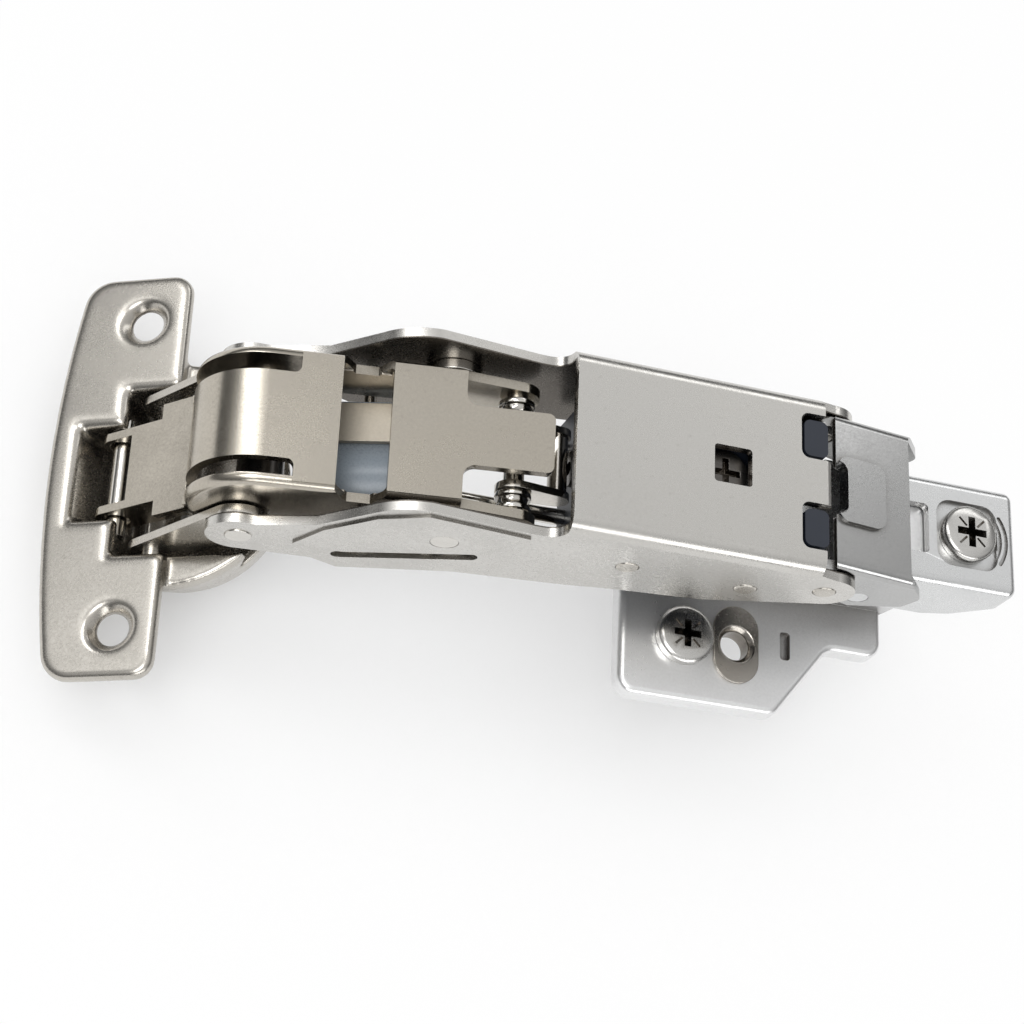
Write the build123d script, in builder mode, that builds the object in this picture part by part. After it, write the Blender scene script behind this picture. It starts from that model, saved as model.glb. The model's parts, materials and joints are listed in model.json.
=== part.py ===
"""Wide-angle soft-close concealed hinge on a clip-on wing plate, shown with its door part open.

Millimetres. The origin lies on the face of the cabinet panel, midway between the two panel
screws. +X runs to the rear along the arm, +Y along the screw line, +Z out from the panel.
"""
import os
from math import atan2, cos, degrees, hypot, radians, sin

from build123d import *

os.makedirs("parts", exist_ok=True)

# Door and cup
door_angle = 122.0            # how far the door stands open in this pose, in degrees
cup_x, cup_z = -76.7, -5.1    # centre of the cup on the front face of its flange
cup_r = 17.5
cup_depth = 11.3              # below the flange
cup_rim = 1.8                 # straight wall under the flange
cup_foot_r = 14.0             # outside radius at the bottom
cup_foot_edge_r = 1.5
flange_t = 2.2
flange_left = 18.5            # crown of the curved edge, from the cup centre
flange_end = 15.4             # the curved edge at the flange's two ends
flange_right = 0.8
flange_half = 31.6
flange_corner_r = 4.5
flange_lip_r = 3.0
flange_edge_r = 0.9
mouth_r = 1.5                 # soft shoulder round the pocket
door_screw_inset = 6.0        # door screw line, from the cup centre
door_screw_pitch = 48.0
door_screw_r = 2.3
door_sink_r = 3.7
pocket_half = 12.8
pocket_left = 7.2
pocket_floor = 1.8
cup_wall = 1.5
recess_half = 7.2             # narrow recess round the cup pin
recess_left = 14.5
recess_toe = 11.4
recess_depth = 7.6
recess_lap = 1.0              # recess into the pocket
exit_depth = 5.5              # how far the wall is cut down where the arm comes out
cup_pin_in, cup_pin_deep = 8.3, 3.5
link_pin_in, link_pin_deep = 2.3, 3.5
cup_pin_r = 1.5
cup_pin_grip = 1.9            # length of cup pin held in each recess wall
link_pin_r = 1.6
link_pin_grip = 1.8

reach = 400.0                 # longer than the hinge, for cuts that go right through

# Pivots of the linkage in side view
nose = (-67.9, 7.0)           # cup link on the arm
knuckle = (-66.0, 8.6)        # saddle link on the outer lever
lever_pivot = (-41.5, 17.4)   # outer lever on the arm
tail = (-32.3, 18.3)          # tail pin of the outer lever
arm_pivot = (13.3, 22.3)      # arm on the mid channel

# Layers across the width, from the arm inwards
arm_outer = 13.7
arm_sheet = 1.5
link_sheet = 1.2
lever_sheet = 1.4
saddle_sheet = 1.3
layer_gap = 0.3
pivot_play = 0.05             # radial play of a pin in its eye
open_play = 0.55              # radial play of the cup pin in the saddle link

arm_inner = arm_outer - arm_sheet
link_outer = arm_inner - layer_gap
link_inner = link_outer - link_sheet
lever_outer = link_inner - layer_gap
lever_inner = lever_outer - lever_sheet
saddle_outer = lever_inner - layer_gap
saddle_inner = saddle_outer - saddle_sheet

# Arm
arm_top = 29.0
arm_front, arm_rear = -27.0, 10.6
arm_bend_r = 2.4
nose_r = 4.6
arm_lobe_r = 4.4
arm_low = ((-56.8, 3.6), (-52.6, 1.8), (-37.3, 7.0), (-21.6, 9.1), (-13.8, 10.7), (-1.4, 12.3))   # lower edge
nose_lead = 1.6
lobe_lead, lobe_lift = 1.0, 0.6
cheek_foot = (-58.9, 15.0)
cheek_rise = (-53.2, 21.8)
cheek_round = (-50.6, 24.3)   # on the round shoulder between rise and crown
cheek_crown = (-45.8, 25.9)
cheek_end = 24.4
cheek_flat = 4.0
cheek_neck_r = 2.6            # where the cheek rises into the box
panel_out = 0.35              # raised panel of the cheek
panel_inset = 1.2
panel_lift, panel_lead = 1.9, 7.0   # panel over the slot and ahead of it
square_window = 5.7
square_at = -3.7
window_r = 0.5
rear_notch_in, rear_notch_out = 3.4, 10.4
rear_notch_depth = 3.8
rear_notch_r = 1.2
rear_tab = 1.2                # tab between the notches, past the rear edge
rear_tab_r = 1.2
slot_start = (-53.5, 6.3)
slot_end = (-36.4, 13.1)
slot_half = 1.05
nose_rivet_r = 1.9
rivet_proud = 0.2
arm_rivet_r = 1.7
housing_rivets = ((-15.3, 19.0), (2.8, 18.6))
lever_pin_r = 2.0
spacer_r = 4.0

# Outer lever, in its own frame from the knuckle along the top plate
lever_slope = 9.7
knuckle_r = 10.0
knuckle_wrap = 205.0          # where the rolled strip ends, in degrees from the top plate's run
knuckle_pin_r = 1.9
strip_half = 6.5
strip_root = 4.05
lever_wide_end = 27.0
tongue_half = 4.5
tongue_end = 39.5
tongue_root_r, tongue_corner_r = 1.8, 1.0
strip_root_r = 1.0
window_start, window_end = 9.8, 16.8
window_half = 9.3
window_dip = 3.4
window_lip = 0.6
window_corner_r = 0.6
dip_half = 1.6
lever_boss_r = 4.2
tail_ear_r = 3.2
tail_pin_r = 1.5
tail_spacer_r = 2.6
tail_spacer_in, tail_spacer_out = 5.6, 8.4
spool_core_r, spool_lip = 2.1, 0.8
spring_plate_in, spring_plate_out = 4.3, 5.4
spring_link_length = 6.4
spring_nose_r = 1.8
spring_bar_r, spring_bar_grip = 1.4, 0.4

# Saddle link, from the knuckle to the cup pin
saddle_eye_r = 3.8
saddle_tip_r = 3.0
saddle_tip_half = 6.4
saddle_rise = 2.9             # outer face of the web over the pin line
web_clear = 0.8               # web to the rolled strip
tip_bare = 4.0                # cup pin to the end of the web
flare_lead, flare_run = 2.0, 6.0   # flare before and after the start of the web
bush_r = 3.3

# Cup link
link_eye_r = 4.0
link_tip_r = 3.4
link_web_back = 3.0
link_web_past = 0.5

# Damper in the arm
housing_front, housing_rear = -23.0, 11.2
housing_low, housing_top = 16.0, 26.0
bar_in, bar_out = 3.4, 10.1
bridge_end = -9.0
bridge_low = 10.6
bridge_rise = 3.0
bore_wall = 1.0
housing_pin_in = 1.5
pad_gap = 0.7                 # pads of the housing inside the arm's rear notches
pad_sink = 0.6
pad_r = 1.0
piston_r = 1.2
piston_y, piston_z = 5.2, 12.9
piston_length = 22.7
piston_front = -39.6
piston_chamfer = 0.4
slider_half = 8.2
slider_back, slider_ahead = 15.0, -4.0   # ends along the slot, from its start
slider_low, slider_high = -2.0, 3.6
slider_toe, slider_chin = 0.8, -1.3   # front end, cut back over the open cup
slider_top_end = 8.0          # its raised top stops short of the lever pin
slider_pins = (3.0, 12.0)
slider_pin_r = 0.9
slider_pin_short = 1.0
slider_heel, slider_nape = 1.0, 2.0
slider_nape_run = 3.0
slider_crown = 2.2
push_plate_t = 1.0
push_plate_in, push_plate_out = 1.6, 7.6
spring_r, spring_bore_r = 2.6, 1.0
spring_length = 13.5
spring_gap = 0.75
spring_play = 0.3

# Carrier behind the arm
mid_outer = 11.9
mid_sheet = 1.5
mid_front, mid_rear = 12.6, 25.2
mid_front_top, mid_rear_top = 28.0, 26.2
mid_lobe_r = 4.2
mid_heel, mid_toe = (3.8, 4.6), (2.6, 8.4)   # rear corners, past and below the rear of the deck
mid_corner_r = 1.5
mid_pad_run, mid_pad_half, mid_pad_t, mid_pad_r = 8.1, 5.0, 0.7, 1.8
mid_notch, mid_notch_half, mid_notch_r = 1.6, 4.0, 1.5
carrier_rivet = (20.5, 18.4)
carrier_rivet_r = 1.6
carrier_collar_r = 2.8
adapter_outer = 8.5
adapter_sheet = 1.5
adapter_top = 20.8
adapter_front, adapter_rear = 15.0, 45.6
adapter_low = 9.4
adapter_back = 6.0            # height of the rear wall
adapter_heel = (3.0, 2.6)
adapter_foot = (10.0, 17.0)   # lowest stretch, from the rear
adapter_toe = 6.0
adapter_rear_r = 1.2
clip_window = (20.6, 14.4)    # its two ends, from the adapter's rear
clip_window_half, clip_window_r = 3.9, 0.8
grip_radii = (5.5, 6.5)       # curved grooves behind the cam
grip_w, grip_deep = 0.6, 0.35
grip_sweep = 34.0
tongue_reach = -7.4
tongue_w = 2.9
overlay_screw_r = 2.0
overlay_head_r = 3.4
overlay_head_t = 2.2
overlay_gap = 1.2             # screw head under the arm's top plate
overlay_past = 2.5
overlay_cross = (2.2, 0.9, 1.4)   # arm, width and depth of a driver recess
cam_inset = 8.1               # cam axis, from the adapter's rear
cam_head_r = 4.3
cam_neck_r = 3.1
cam_head_t = 2.2
cam_chamfer = 0.4
cam_cross = (2.8, 1.0, 1.1)
cam_room = (0.7, 0.9)         # round the head, along and across
cam_room_r = 2.4
cam_pin_past = 0.8
cam_seat = 0.7
cam_offset = 2.0
cam_pin_r = 1.0
cam_pin_play = 0.2

# Mounting plate
wing_half = 25.8
wing_front, wing_back = -10.0, 14.8
wing_height = 3.0
plate_sheet = 1.4
wing_corner_r, wing_edge_r = 2.6, 1.1
tail_half = 14.2
tail_start, tail_rear = 23.6, 32.5
spine_half = 6.7
spine_gap = 0.25              # spine to the adapter above it
spine_inset = 4.6             # end of the spine, from the adapter's rear
ridge_inset, ridge_step = 1.0, 9.0
ridge_low, ridge_mid, ridge_heel = 8.0, 9.0, 12.0
ridge_lap, ridge_foot = 0.5, 1.5
under_shift = 0.45
tab_slot_w, tab_slot_l, tab_slot_r, tab_slot_deep = 1.6, 4.4, 0.5, 0.9
tab_slot_out = 0.6
panel_pitch = 32.0
euro_r = 3.1                  # thread
euro_neck_r = 3.3             # smooth neck in the plate
euro_neck_past = 0.3          # neck below the panel face
euro_length = 11.0
euro_head_r = 4.4
euro_head_t = 1.9
euro_chamfer, euro_point = 0.5, 1.2
euro_cross = (2.4, 1.0, 1.6)
eyelet_at = 8.3
eyelet_long, eyelet_wide = 12.0, 7.2
eyelet_lip, eyelet_rim = 0.6, 0.7
eyelet_hole_r, eyelet_sink_r = 2.2, 2.9
latch_inset = 19.6            # latch pivot, from the adapter's rear
latch_height = 13.0
latch_pin_r = 1.3
latch_half = 2.2
latch_root, latch_lean, latch_tooth = 0.4, 0.2, 1.4
latch_tail, latch_tail_t = 9.0, 2.0
latch_room = 1.5              # the tooth's window, before and behind it

near = 0.01                   # lengths closer than this are taken as the same

# Directions and points that follow from the sizes above
cam_at = adapter_rear - cam_inset
spine_rear = adapter_rear - spine_inset
latch_pivot = (adapter_rear - latch_inset, latch_height)
tilt = door_angle - 90.0
flange_run = (cos(radians(tilt)), 0.0, sin(radians(tilt)))
flange_out = (-sin(radians(tilt)), 0.0, cos(radians(tilt)))
cup_plane = Plane(origin=(cup_x, 0, cup_z), x_dir=flange_run, z_dir=flange_out)
cup_side = Plane(origin=(cup_x, 0, cup_z), x_dir=flange_run, z_dir=(0, -1, 0))


def in_cup(run, deep):
    """Return the side-view point at a run along the flange and a depth below its face."""
    x = cup_x + run * flange_run[0] - deep * flange_out[0]
    z = cup_z + run * flange_run[2] - deep * flange_out[2]
    return (x, z)


cup_pin_at = in_cup(-cup_pin_in, cup_pin_deep)
link_pin_at = in_cup(-link_pin_in, link_pin_deep)


def span(start, end):
    """Return the distance between two side-view points and the slope between them in degrees."""
    dx, dz = end[0] - start[0], end[1] - start[1]
    return hypot(dx, dz), degrees(atan2(dz, dx))


def side_plane(origin, slope):
    """Return a side-view plane at a point, its X along a slope in degrees."""
    run = (cos(radians(slope)), 0, sin(radians(slope)))
    return Plane(origin=(origin[0], 0, origin[1]), x_dir=run, z_dir=(0, -1, 0))


def top_plane(side):
    """Return the plane that looks down on a side-view plane, with the same origin and X."""
    return Plane(origin=side.origin, x_dir=side.x_dir, z_dir=side.y_dir)


def disc(at, radius, plane=Plane.XZ):
    """Return a disc in side view."""
    with BuildSketch(plane) as sketch:
        with Locations(at):
            Circle(radius)
    return sketch.sketch


def outline(points, plane=Plane.XZ):
    """Return a face with straight sides."""
    with BuildSketch(plane) as sketch:
        with BuildLine():
            Polyline(*points, close=True)
        make_face()
    return sketch.sketch


def strap(start, start_r, end, end_r, plane=Plane.XZ):
    """Return a link's side view: two round ends and the straight flanks that join them."""
    with BuildSketch(plane) as sketch:
        with Locations(start):
            Circle(start_r)
        with Locations(end):
            Circle(end_r)
        make_hull()
    return sketch.sketch


def gap():
    """Return a face that covers the whole side view, to clear the middle between two side walls."""
    with BuildSketch(Plane.XZ) as sketch:
        Rectangle(reach, reach)
    return sketch.sketch


def cross_recess(plane, sizes):
    """Return the outline of a cross-shaped driver recess from its arm and width."""
    with BuildSketch(plane) as sketch:
        Rectangle(2 * sizes[0], sizes[1])
        Rectangle(sizes[1], 2 * sizes[0])
    return sketch.sketch


def in_mouth(edge):
    """Tell whether an edge of the flange's face runs round the pocket."""
    at = cup_plane.to_local_coords(edge.center())
    beside = abs(at.Y) < pocket_half + 2 * mouth_r
    return beside and -recess_left - mouth_r < at.X < flange_right - near


def cup_profile(radius, foot_r, deep):
    """Return half the section of the cup: a straight rim and a wall that tapers to its foot."""
    with BuildSketch(cup_side) as sketch:
        with BuildLine():
            Polyline(
                (0, -flange_t), (radius, -flange_t), (radius, -flange_t - cup_rim), (foot_r, -deep),
                (0, -deep), close=True)
        make_face()
    return sketch.sketch


# Cup with its flange
cup_axis = Axis(cup_plane.origin, cup_plane.z_dir)
cup_floor = flange_t + cup_depth
pocket_depth = cup_floor - pocket_floor
with BuildPart() as pocket_form:
    revolve(cup_profile(cup_r - cup_wall, cup_foot_r - cup_wall, pocket_depth), axis=cup_axis)
    with BuildSketch(cup_plane.offset(-flange_t)):
        Circle(cup_r - cup_wall)
    extrude(amount=flange_t)
    with BuildSketch(cup_plane):
        with Locations((reach / 2 - pocket_left, 0)):
            Rectangle(reach, 2 * pocket_half)
    extrude(amount=-pocket_depth, mode=Mode.INTERSECT)
with BuildPart() as hinge_cup:
    with BuildSketch(cup_plane) as flange_face:
        with BuildLine():
            crown = ThreePointArc((-flange_end, -flange_half), (-flange_left, 0), (-flange_end, flange_half))
            Polyline(crown @ 1, (flange_right, flange_half), (flange_right, -flange_half), crown @ 0)
        make_face()
        run_axis = Axis(cup_plane.origin, cup_plane.x_dir)
        fillet(flange_face.vertices().group_by(run_axis)[-1], flange_lip_r)
        fillet(flange_face.vertices().group_by(run_axis)[0], flange_corner_r)
    extrude(amount=-flange_t)
    revolve(cup_profile(cup_r, cup_foot_r, cup_floor), axis=cup_axis)
    fillet(hinge_cup.faces().sort_by(cup_axis)[0].edges(), cup_foot_edge_r)
    add(pocket_form.part, mode=Mode.SUBTRACT)
    with BuildSketch(cup_plane):
        with Locations((cup_r, 0)):
            Rectangle(cup_r, 2 * pocket_half)
    extrude(amount=-(flange_t + exit_depth), mode=Mode.SUBTRACT)
    recess = outline(
        [(-recess_left, 0), (-recess_toe, -recess_depth), (recess_lap - pocket_left, -recess_depth),
         (recess_lap - pocket_left, 0)], cup_side)
    extrude(recess, amount=recess_half, both=True, mode=Mode.SUBTRACT)
    face_edges = hinge_cup.faces().sort_by(cup_axis)[-1].outer_wire().edges()
    fillet(face_edges.filter_by(in_mouth), mouth_r)
    face_edges = hinge_cup.faces().sort_by(cup_axis)[-1].outer_wire().edges()
    fillet(face_edges.filter_by(lambda edge: not in_mouth(edge)), flange_edge_r)
    extrude(disc(cup_pin_at, cup_pin_r), amount=recess_half + cup_pin_grip, both=True, mode=Mode.SUBTRACT)
    extrude(disc(link_pin_at, link_pin_r), amount=pocket_half + link_pin_grip, both=True, mode=Mode.SUBTRACT)
    with Locations(cup_plane):
        with Locations((-door_screw_inset, -door_screw_pitch / 2), (-door_screw_inset, door_screw_pitch / 2)):
            CounterSinkHole(door_screw_r, door_sink_r, depth=2 * flange_t)
hinge_cup.part.label = "hinge_cup"
export_step(hinge_cup.part, "parts/hinge_cup.step")

with BuildPart() as cup_pin:
    extrude(disc(cup_pin_at, cup_pin_r), amount=recess_half + cup_pin_grip, both=True)
cup_pin.part.label = "cup_pin"
export_step(cup_pin.part, "parts/cup_pin.step")

with BuildPart() as cup_link_rivets:
    extrude(disc(link_pin_at, link_pin_r), amount=pocket_half + link_pin_grip, both=True)
    extrude(gap(), amount=link_inner, both=True, mode=Mode.SUBTRACT)
cup_link_rivets.part.label = "cup_link_rivets"
export_step(cup_link_rivets.part, "parts/cup_link_rivets.step")

# Cup link: two ears and the web behind them
link_length, link_slope = span(nose, link_pin_at)
link_side = side_plane(nose, link_slope)
with BuildPart() as cup_link:
    extrude(strap((0, 0), link_eye_r, (link_length, 0), link_tip_r, link_side), amount=link_outer, both=True)
    extrude(gap(), amount=link_inner, both=True, mode=Mode.SUBTRACT)
    web = outline(
        [(link_length - link_web_back, link_tip_r), (link_length + link_web_past, link_tip_r),
         (link_length + link_web_past, link_tip_r - link_sheet),
         (link_length - link_web_back, link_tip_r - link_sheet)], link_side)
    extrude(web, amount=link_inner + link_sheet / 2, both=True)
    extrude(disc(nose, nose_rivet_r + pivot_play), amount=arm_outer, both=True, mode=Mode.SUBTRACT)
    extrude(disc(link_pin_at, link_pin_r + pivot_play), amount=arm_outer, both=True, mode=Mode.SUBTRACT)
cup_link.part.label = "cup_link"
export_step(cup_link.part, "parts/cup_link.step")

with BuildPart() as nose_rivets:
    extrude(disc(nose, nose_rivet_r), amount=arm_outer + rivet_proud, both=True)
    extrude(gap(), amount=link_inner, both=True, mode=Mode.SUBTRACT)
nose_rivets.part.label = "nose_rivets"
export_step(nose_rivets.part, "parts/nose_rivets.step")

# Saddle link: a channel that narrows from the knuckle to the cup pin
saddle_length, saddle_slope = span(knuckle, cup_pin_at)
saddle_side = side_plane(knuckle, saddle_slope)
saddle_top = top_plane(saddle_side)
web_start = knuckle_r + web_clear
flare_end = web_start + flare_run


def saddle_plan(wide, narrow):
    """Return the saddle link's outline from above at two half-widths, with its curved flare."""
    with BuildSketch(saddle_top) as sketch:
        with BuildLine():
            flare = Spline(
                (web_start - flare_lead, wide), (flare_end, narrow), tangents=((1, 0), (1, 0)))
            Polyline(flare @ 0, (-reach, wide), (-reach, 0), (reach, 0), (reach, narrow), flare @ 1)
        make_face()
        mirror(about=Plane.XZ)
    return sketch.sketch


with BuildPart() as saddle_link:
    extrude(strap((0, 0), saddle_eye_r, (saddle_length, 0), saddle_tip_r, saddle_side),
            amount=saddle_outer, both=True)
    above = outline(
        [(web_start, -saddle_rise), (web_start, -reach), (reach, -reach), (reach, -saddle_rise)], saddle_side)
    extrude(above, amount=arm_outer, both=True, mode=Mode.SUBTRACT)
    extrude(saddle_plan(saddle_outer, saddle_tip_half), amount=reach, both=True, mode=Mode.INTERSECT)
    hollow = saddle_plan(saddle_inner, saddle_tip_half - saddle_sheet)
    extrude(hollow, amount=reach, both=True, mode=Mode.SUBTRACT)
    with BuildSketch(saddle_side):
        with Locations(((web_start + saddle_length - tip_bare) / 2, saddle_sheet / 2 - saddle_rise)):
            Rectangle(saddle_length - tip_bare - web_start, saddle_sheet)
    extrude(amount=saddle_tip_half, both=True)
    wing = saddle_plan(saddle_outer, saddle_tip_half)
    with BuildSketch(saddle_top.offset(-saddle_rise)):
        add(wing.moved(Location(saddle_top.z_dir * -saddle_rise)))
        with Locations((flare_end / 2 + web_start / 2, 0)):
            Rectangle(flare_end - web_start, 2 * saddle_outer, mode=Mode.INTERSECT)
    extrude(amount=saddle_sheet)
    extrude(disc(knuckle, knuckle_pin_r + pivot_play), amount=arm_outer, both=True, mode=Mode.SUBTRACT)
    extrude(disc(cup_pin_at, cup_pin_r + open_play), amount=arm_outer, both=True, mode=Mode.SUBTRACT)
saddle_link.part.label = "saddle_link"
export_step(saddle_link.part, "parts/saddle_link.step")

with BuildPart() as knuckle_bush:
    extrude(disc(knuckle, bush_r), amount=saddle_inner - layer_gap, both=True)
    extrude(disc(knuckle, knuckle_pin_r), amount=saddle_inner, both=True, mode=Mode.SUBTRACT)
knuckle_bush.part.label = "knuckle_bush"
export_step(knuckle_bush.part, "parts/knuckle_bush.step")

# Outer lever: a channel with a rolled front strip, two round ears, a window and a tongue
lever_side = side_plane(knuckle, lever_slope)
lever_top = top_plane(lever_side)


def in_lever(point):
    """Return a side-view point in the outer lever's own frame."""
    dx, dz = point[0] - knuckle[0], point[1] - knuckle[1]
    c, s = cos(radians(lever_slope)), sin(radians(lever_slope))
    return (dx * c + dz * s, dz * c - dx * s)


pivot_run, pivot_rise = in_lever(lever_pivot)
tail_run, tail_rise = in_lever(tail)
with BuildPart() as outer_lever:
    with BuildSketch(lever_side):
        Circle(knuckle_r)
        with BuildLine():
            Polyline(
                (0, knuckle_r), (lever_wide_end, knuckle_r), (lever_wide_end, pivot_rise - lever_boss_r),
                (pivot_run, pivot_rise - lever_boss_r), (knuckle_r, 0), (0, 0), close=True)
        make_face()
    extrude(amount=lever_outer, both=True)
    extrude(strap((pivot_run, pivot_rise), lever_boss_r, (tail_run, tail_rise), tail_ear_r, lever_side),
            amount=lever_outer, both=True)
    bend = outer_lever.edges().filter_by(Axis(lever_side.origin, lever_side.x_dir))
    fillet(bend.group_by(Axis(lever_side.origin, lever_side.y_dir))[-1], lever_sheet)
    extrude(gap(), amount=lever_inner, both=True, mode=Mode.SUBTRACT)
    with BuildSketch(lever_top.offset(knuckle_r)) as lever_plan:
        with Locations(((strip_root + lever_wide_end) / 2, 0)):
            Rectangle(lever_wide_end - strip_root, 2 * lever_inner + lever_sheet)
        with Locations((tongue_end / 2, 0)):
            Rectangle(tongue_end, 2 * tongue_half)
        with Locations((lever_wide_end / 2, 0)):
            Rectangle(lever_wide_end, 2 * strip_half)
        roots = lever_plan.vertices().filter_by(lambda corner: abs(abs(corner.Y) - tongue_half) < near)
        fillet(roots.sort_by(Axis.X)[:2], tongue_root_r)
        notches = lever_plan.vertices().filter_by(lambda corner: abs(abs(corner.Y) - strip_half) < near)
        fillet(notches.sort_by(Axis.X)[-2:], strip_root_r)
        fillet(lever_plan.vertices().group_by(Axis.X)[-1], tongue_corner_r)
    extrude(amount=-lever_sheet)
    with BuildSketch(lever_side):
        Circle(knuckle_r)
        Circle(knuckle_r - lever_sheet, mode=Mode.SUBTRACT)
        with BuildLine():
            Polyline(
                (0, 0), (0, reach), (-reach, reach),
                (reach * cos(radians(knuckle_wrap)), reach * sin(radians(knuckle_wrap))),
                close=True)
        make_face(mode=Mode.INTERSECT)
    extrude(amount=strip_half, both=True)
    with BuildSketch(lever_top.offset(knuckle_r)):
        with Locations(((window_start + window_end) / 2, 0)):
            RectangleRounded(window_end - window_start, 2 * window_half, window_corner_r)
    extrude(amount=-2 * lever_sheet, mode=Mode.SUBTRACT)
    window_mid = (window_start + window_end) / 2
    dip = outline(
        [(window_start, reach), (window_start, knuckle_r - window_lip),
         (window_mid - dip_half, knuckle_r - window_dip), (window_mid + dip_half, knuckle_r - window_dip),
         (window_end, knuckle_r - window_lip), (window_end, reach)], lever_side)
    extrude(dip, amount=arm_outer, both=True, mode=Mode.SUBTRACT)
    extrude(disc(knuckle, knuckle_pin_r), amount=arm_outer, both=True, mode=Mode.SUBTRACT)
    extrude(disc(lever_pivot, lever_pin_r + pivot_play), amount=arm_outer, both=True, mode=Mode.SUBTRACT)
    extrude(disc(tail, tail_pin_r), amount=arm_outer, both=True, mode=Mode.SUBTRACT)
outer_lever.part.label = "outer_lever"
export_step(outer_lever.part, "parts/outer_lever.step")

with BuildPart() as knuckle_pin:
    extrude(disc(knuckle, knuckle_pin_r), amount=lever_outer, both=True)
knuckle_pin.part.label = "knuckle_pin"
export_step(knuckle_pin.part, "parts/knuckle_pin.step")

with BuildPart() as lever_pin:
    extrude(disc(lever_pivot, lever_pin_r), amount=arm_outer + panel_out, both=True)
lever_pin.part.label = "lever_pin"
export_step(lever_pin.part, "parts/lever_pin.step")

with BuildPart() as lever_spacers:
    extrude(disc(lever_pivot, spacer_r), amount=arm_inner, both=True)
    extrude(gap(), amount=lever_outer + layer_gap, both=True, mode=Mode.SUBTRACT)
    extrude(disc(lever_pivot, lever_pin_r), amount=arm_inner, both=True, mode=Mode.SUBTRACT)
lever_spacers.part.label = "lever_spacers"
export_step(lever_spacers.part, "parts/lever_spacers.step")

with BuildPart() as tail_pin:
    extrude(disc(tail, tail_pin_r), amount=lever_outer, both=True)
tail_pin.part.label = "tail_pin"
export_step(tail_pin.part, "parts/tail_pin.step")

with BuildPart() as tail_spacers:
    with BuildSketch(Plane.XY):
        spool_half = (tail_spacer_out - tail_spacer_in) / 2
        with Locations((0, (tail_spacer_in + tail_spacer_out) / 2)):
            Rectangle(2 * spool_core_r, 2 * spool_half)
            with Locations((0, spool_half - spool_lip / 2), (0, spool_lip / 2 - spool_half)):
                Rectangle(2 * tail_spacer_r, spool_lip)
            with Locations((-reach / 2, 0)):
                Rectangle(reach, reach, mode=Mode.SUBTRACT)
            Rectangle(2 * tail_pin_r, reach, mode=Mode.SUBTRACT)
    revolve(axis=Axis.Y)
    mirror(about=Plane.XZ)
tail_spacers.part.label = "tail_spacers"
tail_spacers.part.location = Location((tail[0], 0, tail[1]))
export_step(tail_spacers.part, "parts/tail_spacers.step")

# Link from the tail pin to the closing spring
spring_nose = (tail[0] + spring_link_length, tail[1])
with BuildPart() as spring_link:
    extrude(strap(tail, tail_spacer_r, spring_nose, spring_nose_r), amount=spring_plate_out, both=True)
    extrude(gap(), amount=spring_plate_in, both=True, mode=Mode.SUBTRACT)
    extrude(disc(spring_nose, spring_bar_r), amount=spring_plate_in + spring_bar_grip, both=True)
    extrude(disc(tail, tail_pin_r + pivot_play), amount=arm_outer, both=True, mode=Mode.SUBTRACT)
spring_link.part.label = "spring_link"
export_step(spring_link.part, "parts/spring_link.step")

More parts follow.
